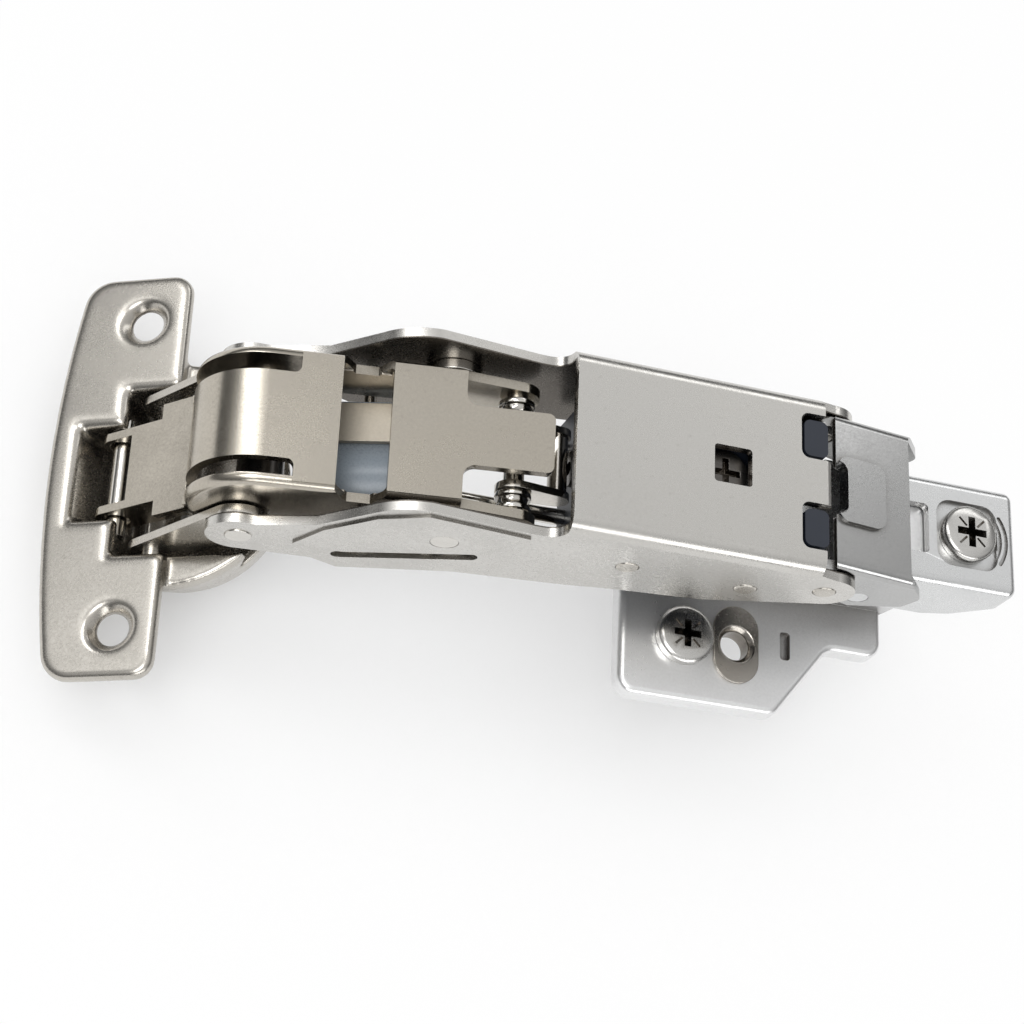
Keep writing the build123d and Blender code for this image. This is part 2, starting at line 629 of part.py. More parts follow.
# Arm: a box with a bare top, its side walls drawn forward into two cheeks with round noses
with BuildPart() as arm_body:
    with BuildSketch(Plane.XZ) as arm_face:
        with BuildLine():
            top_run = Polyline(
                cheek_foot, (nose[0] + nose_lead, nose[1] + nose_r), (nose[0], nose[1] + nose_r))
            tip = ThreePointArc(top_run @ 1, (nose[0] - nose_r, nose[1]), (nose[0], nose[1] - nose_r))
            low_run = Polyline(tip @ 1, *arm_low, (arm_pivot[0] + lobe_lead, arm_pivot[1] - arm_lobe_r))
            lobe = ThreePointArc(
                low_run @ 1, (arm_pivot[0] + arm_lobe_r, arm_pivot[1]),
                (arm_pivot[0], arm_pivot[1] + arm_lobe_r))
            box_run = Polyline(
                lobe @ 1, (arm_rear, arm_pivot[1] + arm_lobe_r + lobe_lift), (arm_rear, arm_top),
                (arm_front, arm_top), (arm_front, cheek_end), (arm_front - cheek_flat, cheek_end),
                cheek_crown)
            ThreePointArc(box_run @ 1, cheek_round, cheek_rise)
            Line(cheek_rise, top_run @ 0)
        make_face()
        neck = arm_face.vertices().filter_by(lambda corner: abs(corner.X - arm_front) < near)
        fillet(neck.sort_by(Axis.Y)[0], cheek_neck_r)
    extrude(amount=arm_outer, both=True)
    panel = outline(
        [(slot_start[0] - panel_lead, slot_start[1] + panel_lift),
         (slot_start[0], slot_start[1] + panel_lift),
         (slot_end[0], slot_end[1] + panel_lift), (arm_front - cheek_flat, cheek_end - panel_inset),
         (cheek_crown[0], cheek_crown[1] - panel_inset),
         (cheek_rise[0] + panel_inset, cheek_rise[1] - panel_inset / 2),
         (cheek_foot[0] + panel_inset, cheek_foot[1] - panel_inset / 2)])
    extrude(panel, amount=arm_outer + panel_out, both=True)
    top_edges = arm_body.edges().filter_by(Axis.X).group_by(Axis.Z)[-1]
    fillet(top_edges, arm_bend_r)
    inside = outline(
        [(-reach, -reach), (-reach, reach), (arm_front, reach), (arm_front, arm_top - arm_sheet),
         (arm_rear, arm_top - arm_sheet), (arm_rear, reach), (reach, reach), (reach, -reach)])
    extrude(inside, amount=arm_inner, both=True, mode=Mode.SUBTRACT)
    with BuildSketch(Plane.XY.offset(arm_top)):
        with Locations((arm_rear, 0)):
            Rectangle(2 * rear_tab, 2 * rear_notch_in)
    extrude(amount=-arm_sheet)
    tab_edges = arm_body.edges().filter_by(Axis.Y)
    tab_edges = tab_edges.filter_by(lambda edge: abs(edge.center().X - arm_rear - rear_tab) < near)
    fillet(tab_edges.sort_by(Axis.Z)[-1], rear_tab_r)
    with BuildSketch(Plane.XY.offset(arm_top)):
        with Locations((square_at, 0)):
            RectangleRounded(square_window, square_window, window_r)
        notch_mid = (rear_notch_in + rear_notch_out) / 2
        with Locations((arm_rear, notch_mid), (arm_rear, -notch_mid)):
            RectangleRounded(2 * rear_notch_depth, rear_notch_out - rear_notch_in, rear_notch_r)
    extrude(amount=-2 * arm_sheet, mode=Mode.SUBTRACT)
    slot_length, slot_slope = span(slot_start, slot_end)
    with BuildSketch(side_plane(slot_start, slot_slope)):
        with Locations((slot_length / 2, 0)):
            SlotCenterToCenter(slot_length, 2 * slot_half)
    extrude(amount=arm_outer, both=True, mode=Mode.SUBTRACT)
    for at, radius in ((nose, nose_rivet_r), (lever_pivot, lever_pin_r), (arm_pivot, arm_rivet_r)):
        extrude(disc(at, radius), amount=arm_outer + panel_out, both=True, mode=Mode.SUBTRACT)
    for at in housing_rivets:
        extrude(disc(at, arm_rivet_r), amount=arm_outer, both=True, mode=Mode.SUBTRACT)
arm_body.part.label = "arm_body"
export_step(arm_body.part, "parts/arm_body.step")

with BuildPart() as arm_pivot_rivets:
    extrude(disc(arm_pivot, arm_rivet_r), amount=arm_outer + rivet_proud, both=True)
    extrude(gap(), amount=mid_outer - mid_sheet, both=True, mode=Mode.SUBTRACT)
arm_pivot_rivets.part.label = "arm_pivot_rivets"
export_step(arm_pivot_rivets.part, "parts/arm_pivot_rivets.step")

with BuildPart() as housing_pins:
    for at in housing_rivets:
        extrude(disc(at, arm_rivet_r), amount=arm_outer + rivet_proud, both=True)
    extrude(gap(), amount=bar_out - housing_pin_in, both=True, mode=Mode.SUBTRACT)
housing_pins.part.label = "housing_pins"
export_step(housing_pins.part, "parts/housing_pins.step")

# Damper housing: two round-topped bars joined by a bridge at the front
with BuildPart() as damper_housing:
    bar_mid = (bar_in + bar_out) / 2
    bar_half = (bar_out - bar_in) / 2
    with BuildSketch(Plane.YZ.offset(housing_front)):
        for side in (1, -1):
            with Locations((side * bar_mid, (housing_low + housing_top - bar_half) / 2)):
                Rectangle(2 * bar_half, housing_top - bar_half - housing_low)
            with Locations((side * bar_mid, housing_top - bar_half)):
                Circle(bar_half)
    extrude(amount=housing_rear - housing_front)
    bridge = outline(
        [(housing_front, bridge_low), (bridge_end, bridge_low + bridge_rise),
         (bridge_end, housing_top - bridge_rise), (housing_front + bridge_rise, housing_top - bridge_rise),
         (housing_front, housing_top - 2 * bridge_rise)])
    extrude(bridge, amount=bar_out, both=True)
    pad_front = arm_rear - rear_notch_depth + pad_gap
    with BuildSketch(Plane.XY.offset(arm_top - pad_sink)):
        pad_mid = (rear_notch_in + rear_notch_out) / 2
        with Locations(((pad_front + housing_rear) / 2, pad_mid), ((pad_front + housing_rear) / 2, -pad_mid)):
            RectangleRounded(housing_rear - pad_front, rear_notch_out - rear_notch_in - 2 * pad_gap, pad_r)
    extrude(amount=-(arm_top - pad_sink - housing_top + bar_half))
    with BuildSketch(Plane.YZ.offset(housing_front)):
        with Locations((piston_y, piston_z), (-piston_y, piston_z)):
            Circle(piston_r + pivot_play)
        with Locations((0, tail[1])):
            Circle(spring_r + spring_play)
    extrude(amount=bridge_end - housing_front - bore_wall, mode=Mode.SUBTRACT)
    for at in housing_rivets:
        for side in (1, -1):
            with BuildSketch(Plane.XZ.offset(-side * bar_out)):
                with Locations(at):
                    Circle(arm_rivet_r)
            extrude(amount=side * housing_pin_in, mode=Mode.SUBTRACT)
damper_housing.part.label = "damper_housing"
export_step(damper_housing.part, "parts/damper_housing.step")

with BuildPart() as closing_spring:
    with BuildSketch(Plane.YZ.offset(bridge_end - bore_wall - spring_gap)):
        with Locations((0, tail[1])):
            Circle(spring_r)
            Circle(spring_bore_r, mode=Mode.SUBTRACT)
    extrude(amount=-spring_length)
closing_spring.part.label = "closing_spring"
export_step(closing_spring.part, "parts/closing_spring.step")

with BuildPart() as damper_pistons:
    with BuildSketch(Plane.YZ.offset(piston_front)):
        with Locations((piston_y, piston_z), (-piston_y, piston_z)):
            Circle(piston_r)
    extrude(amount=piston_length)
    chamfer(damper_pistons.edges().filter_by(GeomType.CIRCLE).group_by(Axis.X)[0], piston_chamfer)
damper_pistons.part.label = "damper_pistons"
export_step(damper_pistons.part, "parts/damper_pistons.step")

# Damper slider: a crowned block on pins that run in the cheek slots
slider_side = side_plane(slot_start, slot_slope)
with BuildPart() as damper_slider:
    block = outline(
        [(slider_ahead, slider_toe), (slider_pins[0] - slider_pin_r, slider_chin),
         (slider_pins[1], slider_low), (slider_back, slider_low + slider_heel),
         (slider_back, slider_high - slider_nape), (slider_back - slider_nape_run, slider_high),
         (slider_ahead, slider_high)], slider_side)
    extrude(block, amount=slider_half, both=True)
    crown_plane = Plane(origin=slider_side.origin, x_dir=(0, 1, 0), z_dir=slider_side.x_dir)
    with BuildSketch(crown_plane.offset(slider_ahead)):
        with BuildLine():
            rim = ThreePointArc(
                (-slider_half, slider_high), ((push_plate_in - slider_half) / 2, slider_high + slider_crown),
                (push_plate_in, slider_high))
            Line(rim @ 1, rim @ 0)
        make_face()
    extrude(amount=slider_top_end - slider_ahead)
    for along in slider_pins:
        pin_hole = disc((along, 0), slider_pin_r, slider_side)
        extrude(pin_hole, amount=slider_half, both=True, mode=Mode.SUBTRACT)
damper_slider.part.label = "damper_slider"
export_step(damper_slider.part, "parts/damper_slider.step")

with BuildPart() as slider_pins_node:
    for along in slider_pins:
        extrude(disc((along, 0), slider_pin_r, slider_side), amount=arm_outer - slider_pin_short, both=True)
slider_pins_node.part.label = "slider_pins"
export_step(slider_pins_node.part, "parts/slider_pins.step")

with BuildPart() as push_plate:
    strip_side = outline(
        [(slider_ahead, slider_high), (slider_top_end, slider_high),
         (slider_top_end, slider_high + push_plate_t),
         (slider_ahead, slider_high + push_plate_t)], slider_side)
    extrude(strip_side, amount=-push_plate_out)
    extrude(gap(), amount=push_plate_in, both=True, mode=Mode.SUBTRACT)
push_plate.part.label = "push_plate"
export_step(push_plate.part, "parts/push_plate.step")

# Mid channel: carries the arm on its side walls
mid_inner = mid_outer - mid_sheet
mid_slope = span((mid_front, mid_front_top), (mid_rear, mid_rear_top))[1]
mid_deck = top_plane(side_plane((mid_front, mid_front_top), mid_slope))
with BuildPart() as mid_channel:
    with BuildSketch(Plane.XZ) as mid_face:
        with BuildLine():
            back = Polyline(
                (arm_pivot[0], arm_pivot[1] + mid_lobe_r), (mid_front, mid_front_top),
                (mid_rear, mid_rear_top),
                (mid_rear + mid_heel[0], mid_rear_top - mid_heel[1]),
                (mid_rear + mid_toe[0], mid_rear_top - mid_toe[1]),
                (carrier_rivet[0], carrier_rivet[1] - 2 * carrier_rivet_r),
                (arm_pivot[0], arm_pivot[1] - mid_lobe_r))
            ThreePointArc(back @ 1, (arm_pivot[0] - mid_lobe_r, arm_pivot[1]), back @ 0)
        make_face()
        fillet(mid_face.vertices().group_by(Axis.X)[-2:], mid_corner_r)
    extrude(amount=mid_outer, both=True)
    bends = mid_channel.edges().filter_by(Axis(mid_deck.origin, mid_deck.x_dir)).group_by(Axis.Z)[-1]
    fillet(bends, mid_sheet)
    inside = outline(
        [(-reach, -reach), (-reach, reach), (mid_front, reach), (mid_front, mid_front_top - mid_sheet),
         (mid_rear, mid_rear_top - mid_sheet), (mid_rear, reach), (reach, reach), (reach, -reach)])
    extrude(inside, amount=mid_inner, both=True, mode=Mode.SUBTRACT)
    with BuildSketch(mid_deck):
        with Locations((mid_pad_run / 2, 0)):
            RectangleRounded(mid_pad_run, 2 * mid_pad_half, mid_pad_r)
    extrude(amount=mid_pad_t)
    with BuildSketch(mid_deck.offset(mid_pad_t)):
        RectangleRounded(2 * mid_notch, 2 * mid_notch_half, mid_notch_r)
    extrude(amount=-2 * (mid_pad_t + mid_sheet), mode=Mode.SUBTRACT)
    extrude(disc(arm_pivot, arm_rivet_r + pivot_play), amount=arm_outer, both=True, mode=Mode.SUBTRACT)
    extrude(disc(carrier_rivet, carrier_rivet_r), amount=arm_outer, both=True, mode=Mode.SUBTRACT)
mid_channel.part.label = "mid_channel"
export_step(mid_channel.part, "parts/mid_channel.step")

# Rear adapter: the channel that clips over the plate's spine
adapter_inner = adapter_outer - adapter_sheet
adapter_under = adapter_top - adapter_sheet
with BuildPart() as rear_adapter:
    with BuildSketch(Plane.XZ) as adapter_face:
        with BuildLine():
            Polyline(
                (adapter_front, adapter_top), (adapter_rear, adapter_top),
                (adapter_rear, adapter_top - adapter_back),
                (adapter_rear - adapter_heel[0], adapter_low + adapter_heel[1]),
                (adapter_rear - adapter_foot[0], adapter_low), (adapter_rear - adapter_foot[1], adapter_low),
                (adapter_front, adapter_low + adapter_toe), close=True)
        make_face()
        fillet(adapter_face.vertices().group_by(Axis.X)[-1], adapter_rear_r)
    extrude(amount=adapter_outer, both=True)
    bends = rear_adapter.edges().filter_by(Axis.X).group_by(Axis.Z)[-1]
    fillet(bends, adapter_sheet)
    with BuildSketch(Plane.XY.offset(adapter_under)):
        with Locations((adapter_rear - adapter_sheet - reach / 2, 0)):
            Rectangle(reach, 2 * adapter_inner)
    extrude(amount=-reach, mode=Mode.SUBTRACT)
    with BuildSketch(Plane.XY.offset(adapter_top)):
        with Locations(((adapter_front + tongue_reach) / 2, 0)):
            Rectangle(adapter_front - tongue_reach, 2 * tongue_w)
    extrude(amount=-adapter_sheet)
    with BuildSketch(Plane.XY.offset(adapter_top)):
        with Locations((adapter_rear - (clip_window[0] + clip_window[1]) / 2, 0)):
            RectangleRounded(clip_window[0] - clip_window[1], 2 * clip_window_half, clip_window_r)
        with Locations((cam_at, 0)):
            Circle(cam_neck_r + pivot_play)
        with Locations((square_at, 0)):
            Circle(overlay_screw_r + pivot_play)
    extrude(amount=-2 * adapter_sheet, mode=Mode.SUBTRACT)
    with BuildSketch(Plane.XY.offset(adapter_top)):
        with Locations((cam_at, 0)):
            RectangleRounded(2 * (cam_head_r + cam_room[0]), 2 * (cam_head_r + cam_room[1]), cam_room_r)
    extrude(amount=-cam_seat, mode=Mode.SUBTRACT)
    with BuildSketch(Plane.XY.offset(adapter_top)):
        with Locations((cam_at, 0)):
            for radius in grip_radii:
                groove = Edge.make_circle(radius, start_angle=-grip_sweep, end_angle=grip_sweep)
                SlotArc(groove, grip_w)
    extrude(amount=-grip_deep, mode=Mode.SUBTRACT)
    extrude(disc(carrier_rivet, carrier_rivet_r), amount=arm_outer, both=True, mode=Mode.SUBTRACT)
rear_adapter.part.label = "rear_adapter"
export_step(rear_adapter.part, "parts/rear_adapter.step")

with BuildPart() as carrier_rivets:
    extrude(disc(carrier_rivet, carrier_rivet_r), amount=mid_outer, both=True)
    extrude(disc(carrier_rivet, carrier_collar_r), amount=mid_inner, both=True)
    extrude(disc(carrier_rivet, 2 * carrier_collar_r), amount=adapter_outer, both=True, mode=Mode.SUBTRACT)
    extrude(disc(carrier_rivet, carrier_rivet_r), amount=adapter_outer, both=True)
    extrude(gap(), amount=adapter_inner, both=True, mode=Mode.SUBTRACT)
carrier_rivets.part.label = "carrier_rivets"
export_step(carrier_rivets.part, "parts/carrier_rivets.step")

with BuildPart() as overlay_screw:
    head_top = arm_top - arm_sheet - overlay_gap
    with BuildSketch(Plane.XY.offset(head_top)):
        with Locations((square_at, 0)):
            Circle(overlay_head_r)
    extrude(amount=-overlay_head_t)
    with BuildSketch(Plane.XY.offset(head_top - overlay_head_t)):
        with Locations((square_at, 0)):
            Circle(overlay_screw_r)
    extrude(amount=-(head_top - overlay_head_t - adapter_under + overlay_past))
    recess_at = Plane((square_at, 0, head_top))
    extrude(cross_recess(recess_at, overlay_cross), amount=-overlay_cross[2], mode=Mode.SUBTRACT)
overlay_screw.part.label = "overlay_screw"
export_step(overlay_screw.part, "parts/overlay_screw.step")

with BuildPart() as depth_cam:
    seat_z = adapter_top - cam_seat
    with BuildSketch(Plane.XY.offset(seat_z)):
        with Locations((cam_at, 0)):
            Circle(cam_head_r)
    extrude(amount=cam_head_t)
    chamfer(depth_cam.edges().group_by(Axis.Z)[-1], cam_chamfer)
    with BuildSketch(Plane.XY.offset(seat_z)):
        with Locations((cam_at, 0)):
            Circle(cam_neck_r)
    extrude(amount=-(seat_z - adapter_under))
    with BuildSketch(Plane.XY.offset(adapter_under)):
        with Locations((cam_at, cam_offset)):
            Circle(cam_pin_r)
    extrude(amount=-(spine_gap + plate_sheet + cam_pin_past))
    recess_at = Plane((cam_at, 0, seat_z + cam_head_t))
    extrude(cross_recess(recess_at, cam_cross), amount=-cam_cross[2], mode=Mode.SUBTRACT)
depth_cam.part.label = "depth_cam"
export_step(depth_cam.part, "parts/depth_cam.step")

# Mounting plate: two pressed wings and the raised spine between them
spine_top = adapter_under - spine_gap
spine_inner = spine_half - plate_sheet
with BuildPart() as mounting_plate:
    with BuildSketch(Plane.XY) as wings:
        with BuildLine():
            Polyline(
                (wing_front, 0), (wing_front, -wing_half), (wing_back, -wing_half), (tail_start, -tail_half),
                (tail_rear, -tail_half), (tail_rear, 0), close=True)
        make_face()
        mirror(about=Plane.XZ)
        fillet(wings.vertices(), wing_corner_r)
    extrude(amount=wing_height)
    fillet(mounting_plate.faces().sort_by(Axis.Z)[-1].edges(), wing_edge_r)
    with BuildSketch(Plane.XY):
        add(wings.sketch)
        offset(amount=-plate_sheet, mode=Mode.REPLACE)
    extrude(amount=wing_height - plate_sheet, mode=Mode.SUBTRACT)
    ridge_front = wing_front + ridge_inset
    ridge_floor = wing_height - plate_sheet
    ridge = outline(
        [(ridge_front, ridge_floor), (ridge_front, ridge_low), (ridge_step, ridge_mid),
         (adapter_front + ridge_lap, spine_top), (spine_rear, spine_top), (spine_rear, ridge_heel),
         (tail_rear + ridge_foot, ridge_low), (tail_rear, ridge_floor)])
    extrude(ridge, amount=spine_half, both=True)
    under = outline(
        [(ridge_front + plate_sheet, -plate_sheet), (ridge_front + plate_sheet, ridge_low - plate_sheet),
         (ridge_step + under_shift, ridge_mid - plate_sheet),
         (adapter_front + ridge_lap + under_shift, spine_top - plate_sheet),
         (spine_rear - plate_sheet, spine_top - plate_sheet), (spine_rear - plate_sheet, -plate_sheet)])
    extrude(under, amount=spine_inner, both=True, mode=Mode.SUBTRACT)
    with BuildSketch(Plane.XY.offset(wing_height)):
        with Locations((0, panel_pitch / 2), (0, -panel_pitch / 2)):
            Circle(euro_neck_r)
        with Locations((eyelet_at, panel_pitch / 2), (eyelet_at, -panel_pitch / 2)):
            SlotOverall(eyelet_long - 2 * eyelet_rim, eyelet_wide - 2 * eyelet_rim, rotation=90)
    extrude(amount=-wing_height, mode=Mode.SUBTRACT)
    with BuildSketch(Plane.XY.offset(wing_height)):
        slot_y = tail_half + tab_slot_out
        with Locations((wing_back + tab_slot_w, slot_y), (wing_back + tab_slot_w, -slot_y)):
            RectangleRounded(tab_slot_w, tab_slot_l, tab_slot_r)
    extrude(amount=-tab_slot_deep, mode=Mode.SUBTRACT)
    with BuildSketch(Plane.XY.offset(spine_top)):
        with Locations((cam_at, cam_offset - 2 * cam_pin_play)):
            slot_width = 2 * (cam_pin_r + cam_pin_play)
            SlotOverall(cam_offset + slot_width + 2 * cam_pin_play, slot_width, rotation=90)
        with Locations((latch_pivot[0] + latch_lean + latch_tooth / 2, 0)):
            Rectangle(latch_tooth + 2 * latch_room, 2 * (latch_half + layer_gap))
    extrude(amount=-2 * plate_sheet, mode=Mode.SUBTRACT)
    extrude(disc(latch_pivot, latch_pin_r), amount=spine_half, both=True, mode=Mode.SUBTRACT)
mounting_plate.part.label = "mounting_plate"
export_step(mounting_plate.part, "parts/mounting_plate.step")

with BuildPart() as release_latch:
    x0, z0 = latch_pivot
    lever_face = outline(
        [(x0 - latch_root, z0), (x0 + latch_lean, spine_top), (x0 + latch_lean + latch_tooth, spine_top),
         (x0 + latch_tooth + 2 * latch_root, z0 + latch_tooth), (x0 + latch_tail, z0 - latch_tail_t / 2),
         (x0 + latch_tail, z0 - latch_tail_t / 2 - latch_tail_t),
         (x0, z0 - latch_tail_t)])
    extrude(lever_face, amount=latch_half, both=True)
    extrude(disc(latch_pivot, 2 * latch_pin_r), amount=latch_half, both=True)
    extrude(disc(latch_pivot, latch_pin_r + pivot_play), amount=spine_half, both=True, mode=Mode.SUBTRACT)
release_latch.part.label = "release_latch"
export_step(release_latch.part, "parts/release_latch.step")

with BuildPart() as latch_pin:
    extrude(disc(latch_pivot, latch_pin_r), amount=spine_half, both=True)
latch_pin.part.label = "latch_pin"
export_step(latch_pin.part, "parts/latch_pin.step")

with BuildPart() as panel_screws:
    for side in (1, -1):
        foot = (0, side * panel_pitch / 2)
        with BuildSketch(Plane.XY.offset(wing_height)):
            with Locations(foot):
                Circle(euro_head_r)
        extrude(amount=euro_head_t)
        with BuildSketch(Plane.XY.offset(wing_height)):
            with Locations(foot):
                Circle(euro_neck_r)
        extrude(amount=-(wing_height + euro_neck_past))
        with BuildSketch(Plane.XY):
            with Locations(foot):
                Circle(euro_r)
        extrude(amount=-euro_length)
    chamfer(panel_screws.edges().filter_by(GeomType.CIRCLE).group_by(Axis.Z)[-1], euro_chamfer)
    chamfer(panel_screws.edges().filter_by(GeomType.CIRCLE).group_by(Axis.Z)[0], euro_point)
    for side in (1, -1):
        recess_at = Plane((0, side * panel_pitch / 2, wing_height + euro_head_t))
        extrude(cross_recess(recess_at, euro_cross), amount=-euro_cross[2], mode=Mode.SUBTRACT)
panel_screws.part.label = "panel_screws"
export_step(panel_screws.part, "parts/panel_screws.step")

with BuildPart() as plate_eyelets:
    feet = [(eyelet_at, panel_pitch / 2), (eyelet_at, -panel_pitch / 2)]
    with BuildSketch(Plane.XY.offset(wing_height)):
        with Locations(feet):
            SlotOverall(eyelet_long, eyelet_wide, rotation=90)
    extrude(amount=eyelet_lip)
    with BuildSketch(Plane.XY.offset(wing_height)):
        with Locations(feet):
            SlotOverall(eyelet_long - 2 * eyelet_rim, eyelet_wide - 2 * eyelet_rim, rotation=90)
    extrude(amount=-wing_height)
    with Locations(Plane.XY.offset(wing_height + eyelet_lip)):
        with Locations(feet):
            CounterSinkHole(eyelet_hole_r, eyelet_sink_r)
plate_eyelets.part.label = "plate_eyelets"
export_step(plate_eyelets.part, "parts/plate_eyelets.step")
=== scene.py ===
"""Dress the soft-close cabinet hinge: plated sheet metal, polished pins and moulded plastic.

All lengths in the classes are millimetres in the row frame, and become metres where a mesh is made.
"""

import json
import logging
from dataclasses import dataclass, field
from enum import Enum
from math import cos, pi, radians, sin
from typing import Any, Callable, Iterable, Optional, Union

import bmesh
import bpy
from mathutils import Matrix, Vector

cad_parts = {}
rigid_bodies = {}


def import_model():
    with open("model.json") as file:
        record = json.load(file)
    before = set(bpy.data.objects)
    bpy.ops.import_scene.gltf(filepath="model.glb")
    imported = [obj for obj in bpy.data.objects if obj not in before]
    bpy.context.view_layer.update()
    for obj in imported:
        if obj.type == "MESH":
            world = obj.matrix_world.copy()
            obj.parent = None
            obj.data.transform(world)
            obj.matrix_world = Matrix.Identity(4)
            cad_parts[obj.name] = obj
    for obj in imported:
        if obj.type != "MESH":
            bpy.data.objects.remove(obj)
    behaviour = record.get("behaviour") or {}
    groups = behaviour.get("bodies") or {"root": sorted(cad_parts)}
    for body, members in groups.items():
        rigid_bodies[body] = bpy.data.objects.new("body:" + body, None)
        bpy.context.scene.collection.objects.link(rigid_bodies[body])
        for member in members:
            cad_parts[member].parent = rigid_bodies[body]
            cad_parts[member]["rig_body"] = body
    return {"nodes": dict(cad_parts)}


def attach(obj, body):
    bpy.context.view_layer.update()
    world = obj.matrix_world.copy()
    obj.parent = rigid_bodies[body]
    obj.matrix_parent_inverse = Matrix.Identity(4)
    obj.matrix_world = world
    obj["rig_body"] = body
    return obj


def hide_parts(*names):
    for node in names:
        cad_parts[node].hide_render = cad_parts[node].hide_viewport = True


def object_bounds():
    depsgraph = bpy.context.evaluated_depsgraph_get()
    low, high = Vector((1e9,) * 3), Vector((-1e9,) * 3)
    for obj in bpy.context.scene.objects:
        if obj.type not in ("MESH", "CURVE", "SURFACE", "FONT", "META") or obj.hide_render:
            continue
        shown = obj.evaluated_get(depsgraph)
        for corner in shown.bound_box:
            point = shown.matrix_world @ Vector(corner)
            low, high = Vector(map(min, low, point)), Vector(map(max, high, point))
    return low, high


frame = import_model()
CAD_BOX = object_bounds()
MM = 0.001
LOG = logging.getLogger("hinge")
WELD = 2e-6                # points closer than this, in metres, are one
FLAT_DEG = 0.6             # faces that turn less than this are one face
SHARP_DEG = 40.0           # edges that turn more than this stay sharp
FLAT_WEIGHT = 80           # how much large faces lead the shading
RELAX = 0.5                # share of the way each pass of relaxing goes
CUT_PROUD = 0.5            # how far a cutter stands out of the face, in mm
PLAIN = 0.0                # width of an edge that is left as it is

Colour = tuple[float, float, float]
Number = Union[float, "Sock"]
Place = tuple[float, float, float]
Stops = tuple[tuple[float, float], ...]


class Texture(Enum):
    """How the surface of a finish is broken up."""

    TUMBLED = "tumbled"
    DRAWN = "drawn"


class Sock:
    """A node socket that takes part in Python expressions."""

    def __init__(self, tree: bpy.types.NodeTree, socket: bpy.types.NodeSocket) -> None:
        """Keep the tree and the socket."""
        self.tree = tree
        self.socket = socket

    def _math(self, operation: str, first: Number, second: Number) -> "Sock":
        """Add one Math node.

        Args:
            operation: The Math node's operation.
            first: Its first value.
            second: Its second value.

        Returns:
            The result as a socket.
        """
        node = self.tree.nodes.new("ShaderNodeMath")
        node.operation = operation
        for slot, value in zip(node.inputs, (first, second)):
            if isinstance(value, Sock):
                self.tree.links.new(value.socket, slot)
            else:
                slot.default_value = value
        return Sock(self.tree, node.outputs[0])

    def __add__(self, other: Number) -> "Sock":
        """Return self + other."""
        return self._math("ADD", self, other)

    def __radd__(self, other: Number) -> "Sock":
        """Return other + self."""
        return self._math("ADD", other, self)

    def __sub__(self, other: Number) -> "Sock":
        """Return self - other."""
        return self._math("SUBTRACT", self, other)

    def __rsub__(self, other: Number) -> "Sock":
        """Return other - self."""
        return self._math("SUBTRACT", other, self)

    def __mul__(self, other: Number) -> "Sock":
        """Return self * other."""
        return self._math("MULTIPLY", self, other)

    def __rmul__(self, other: Number) -> "Sock":
        """Return other * self."""
        return self._math("MULTIPLY", other, self)

    def __abs__(self) -> "Sock":
        """Return the value without its sign."""
        return self._math("ABSOLUTE", self, 0.0)

    def __lt__(self, other: Number) -> "Sock":
        """Return 1 where self is under other, else 0."""
        return self._math("LESS_THAN", self, other)


class ShaderGraph:
    """The node tree of one material or world."""

    def __init__(self, tree: bpy.types.NodeTree) -> None:
        """Start from an empty tree."""
        self.tree = tree
        tree.nodes.clear()

    def node(self, kind: str, settings: Optional[dict[str, Any]] = None,
             inputs: Optional[dict[Any, Any]] = None, out: Union[int, str] = 0) -> Sock:
        """Add any node.

        Args:
            kind: The node's type, without its ShaderNode prefix.
            settings: Node properties, and under "stops" a ramp's positions and colours.
            inputs: Values or sockets for its inputs, by name or number.
            out: The output that is returned.

        Returns:
            The chosen output.
        """
        node = self.tree.nodes.new("ShaderNode" + kind)
        for name, value in (settings or {}).items():
            if name == "stops":
                self._stops(node, value)
            else:
                setattr(node, name, value)
        for key, value in (inputs or {}).items():
            slot = node.inputs[key]
            if isinstance(value, Sock):
                self.tree.links.new(value.socket, slot)
            else:
                slot.default_value = value
        if not node.outputs:
            return Sock(self.tree, node.inputs[0])
        return Sock(self.tree, node.outputs[out])

    @staticmethod
    def _stops(node: bpy.types.Node, stops: Iterable[tuple[float, float]]) -> None:
        """Set a ramp's grey stops.

        Args:
            node: The ramp.
            stops: Place and grey of each stop.
        """
        ramp = node.color_ramp.elements
        for index, (place, grey) in enumerate(stops):
            stop = ramp[index] if index < len(ramp) else ramp.new(place)
            stop.position = place
            stop.color = (grey, grey, grey, 1.0)

    def mix_colour(self, factor: Number, first: Any, second: Any) -> Sock:
        """Mix two colours.

        Args:
            factor: How much of the second colour is taken.
            first: Colour or socket.
            second: Colour or socket.

        Returns:
            The mixed colour.
        """
        return self.node("Mix", {"data_type": "RGBA"}, {0: factor, 6: first, 7: second}, out=2)

    def noise(self, at: Sock, scale: float, detail: float = 2.0, rough: float = 0.5) -> Sock:
        """Return fractal noise from 0 to 1 at a scale in cycles per metre."""
        return self.node("TexNoise", None,
                         {"Vector": at, "Scale": scale, "Detail": detail, "Roughness": rough}, out=0)

    def ramp(self, value: Sock, *stops: tuple[float, float]) -> Sock:
        """Return a value passed through a grey ramp."""
        return self.node("ValToRGB", {"stops": stops}, {0: value}, out=0)


def rgba(colour: Colour) -> tuple[float, float, float, float]:
    """Return a colour with full alpha."""
    return (*colour, 1.0)


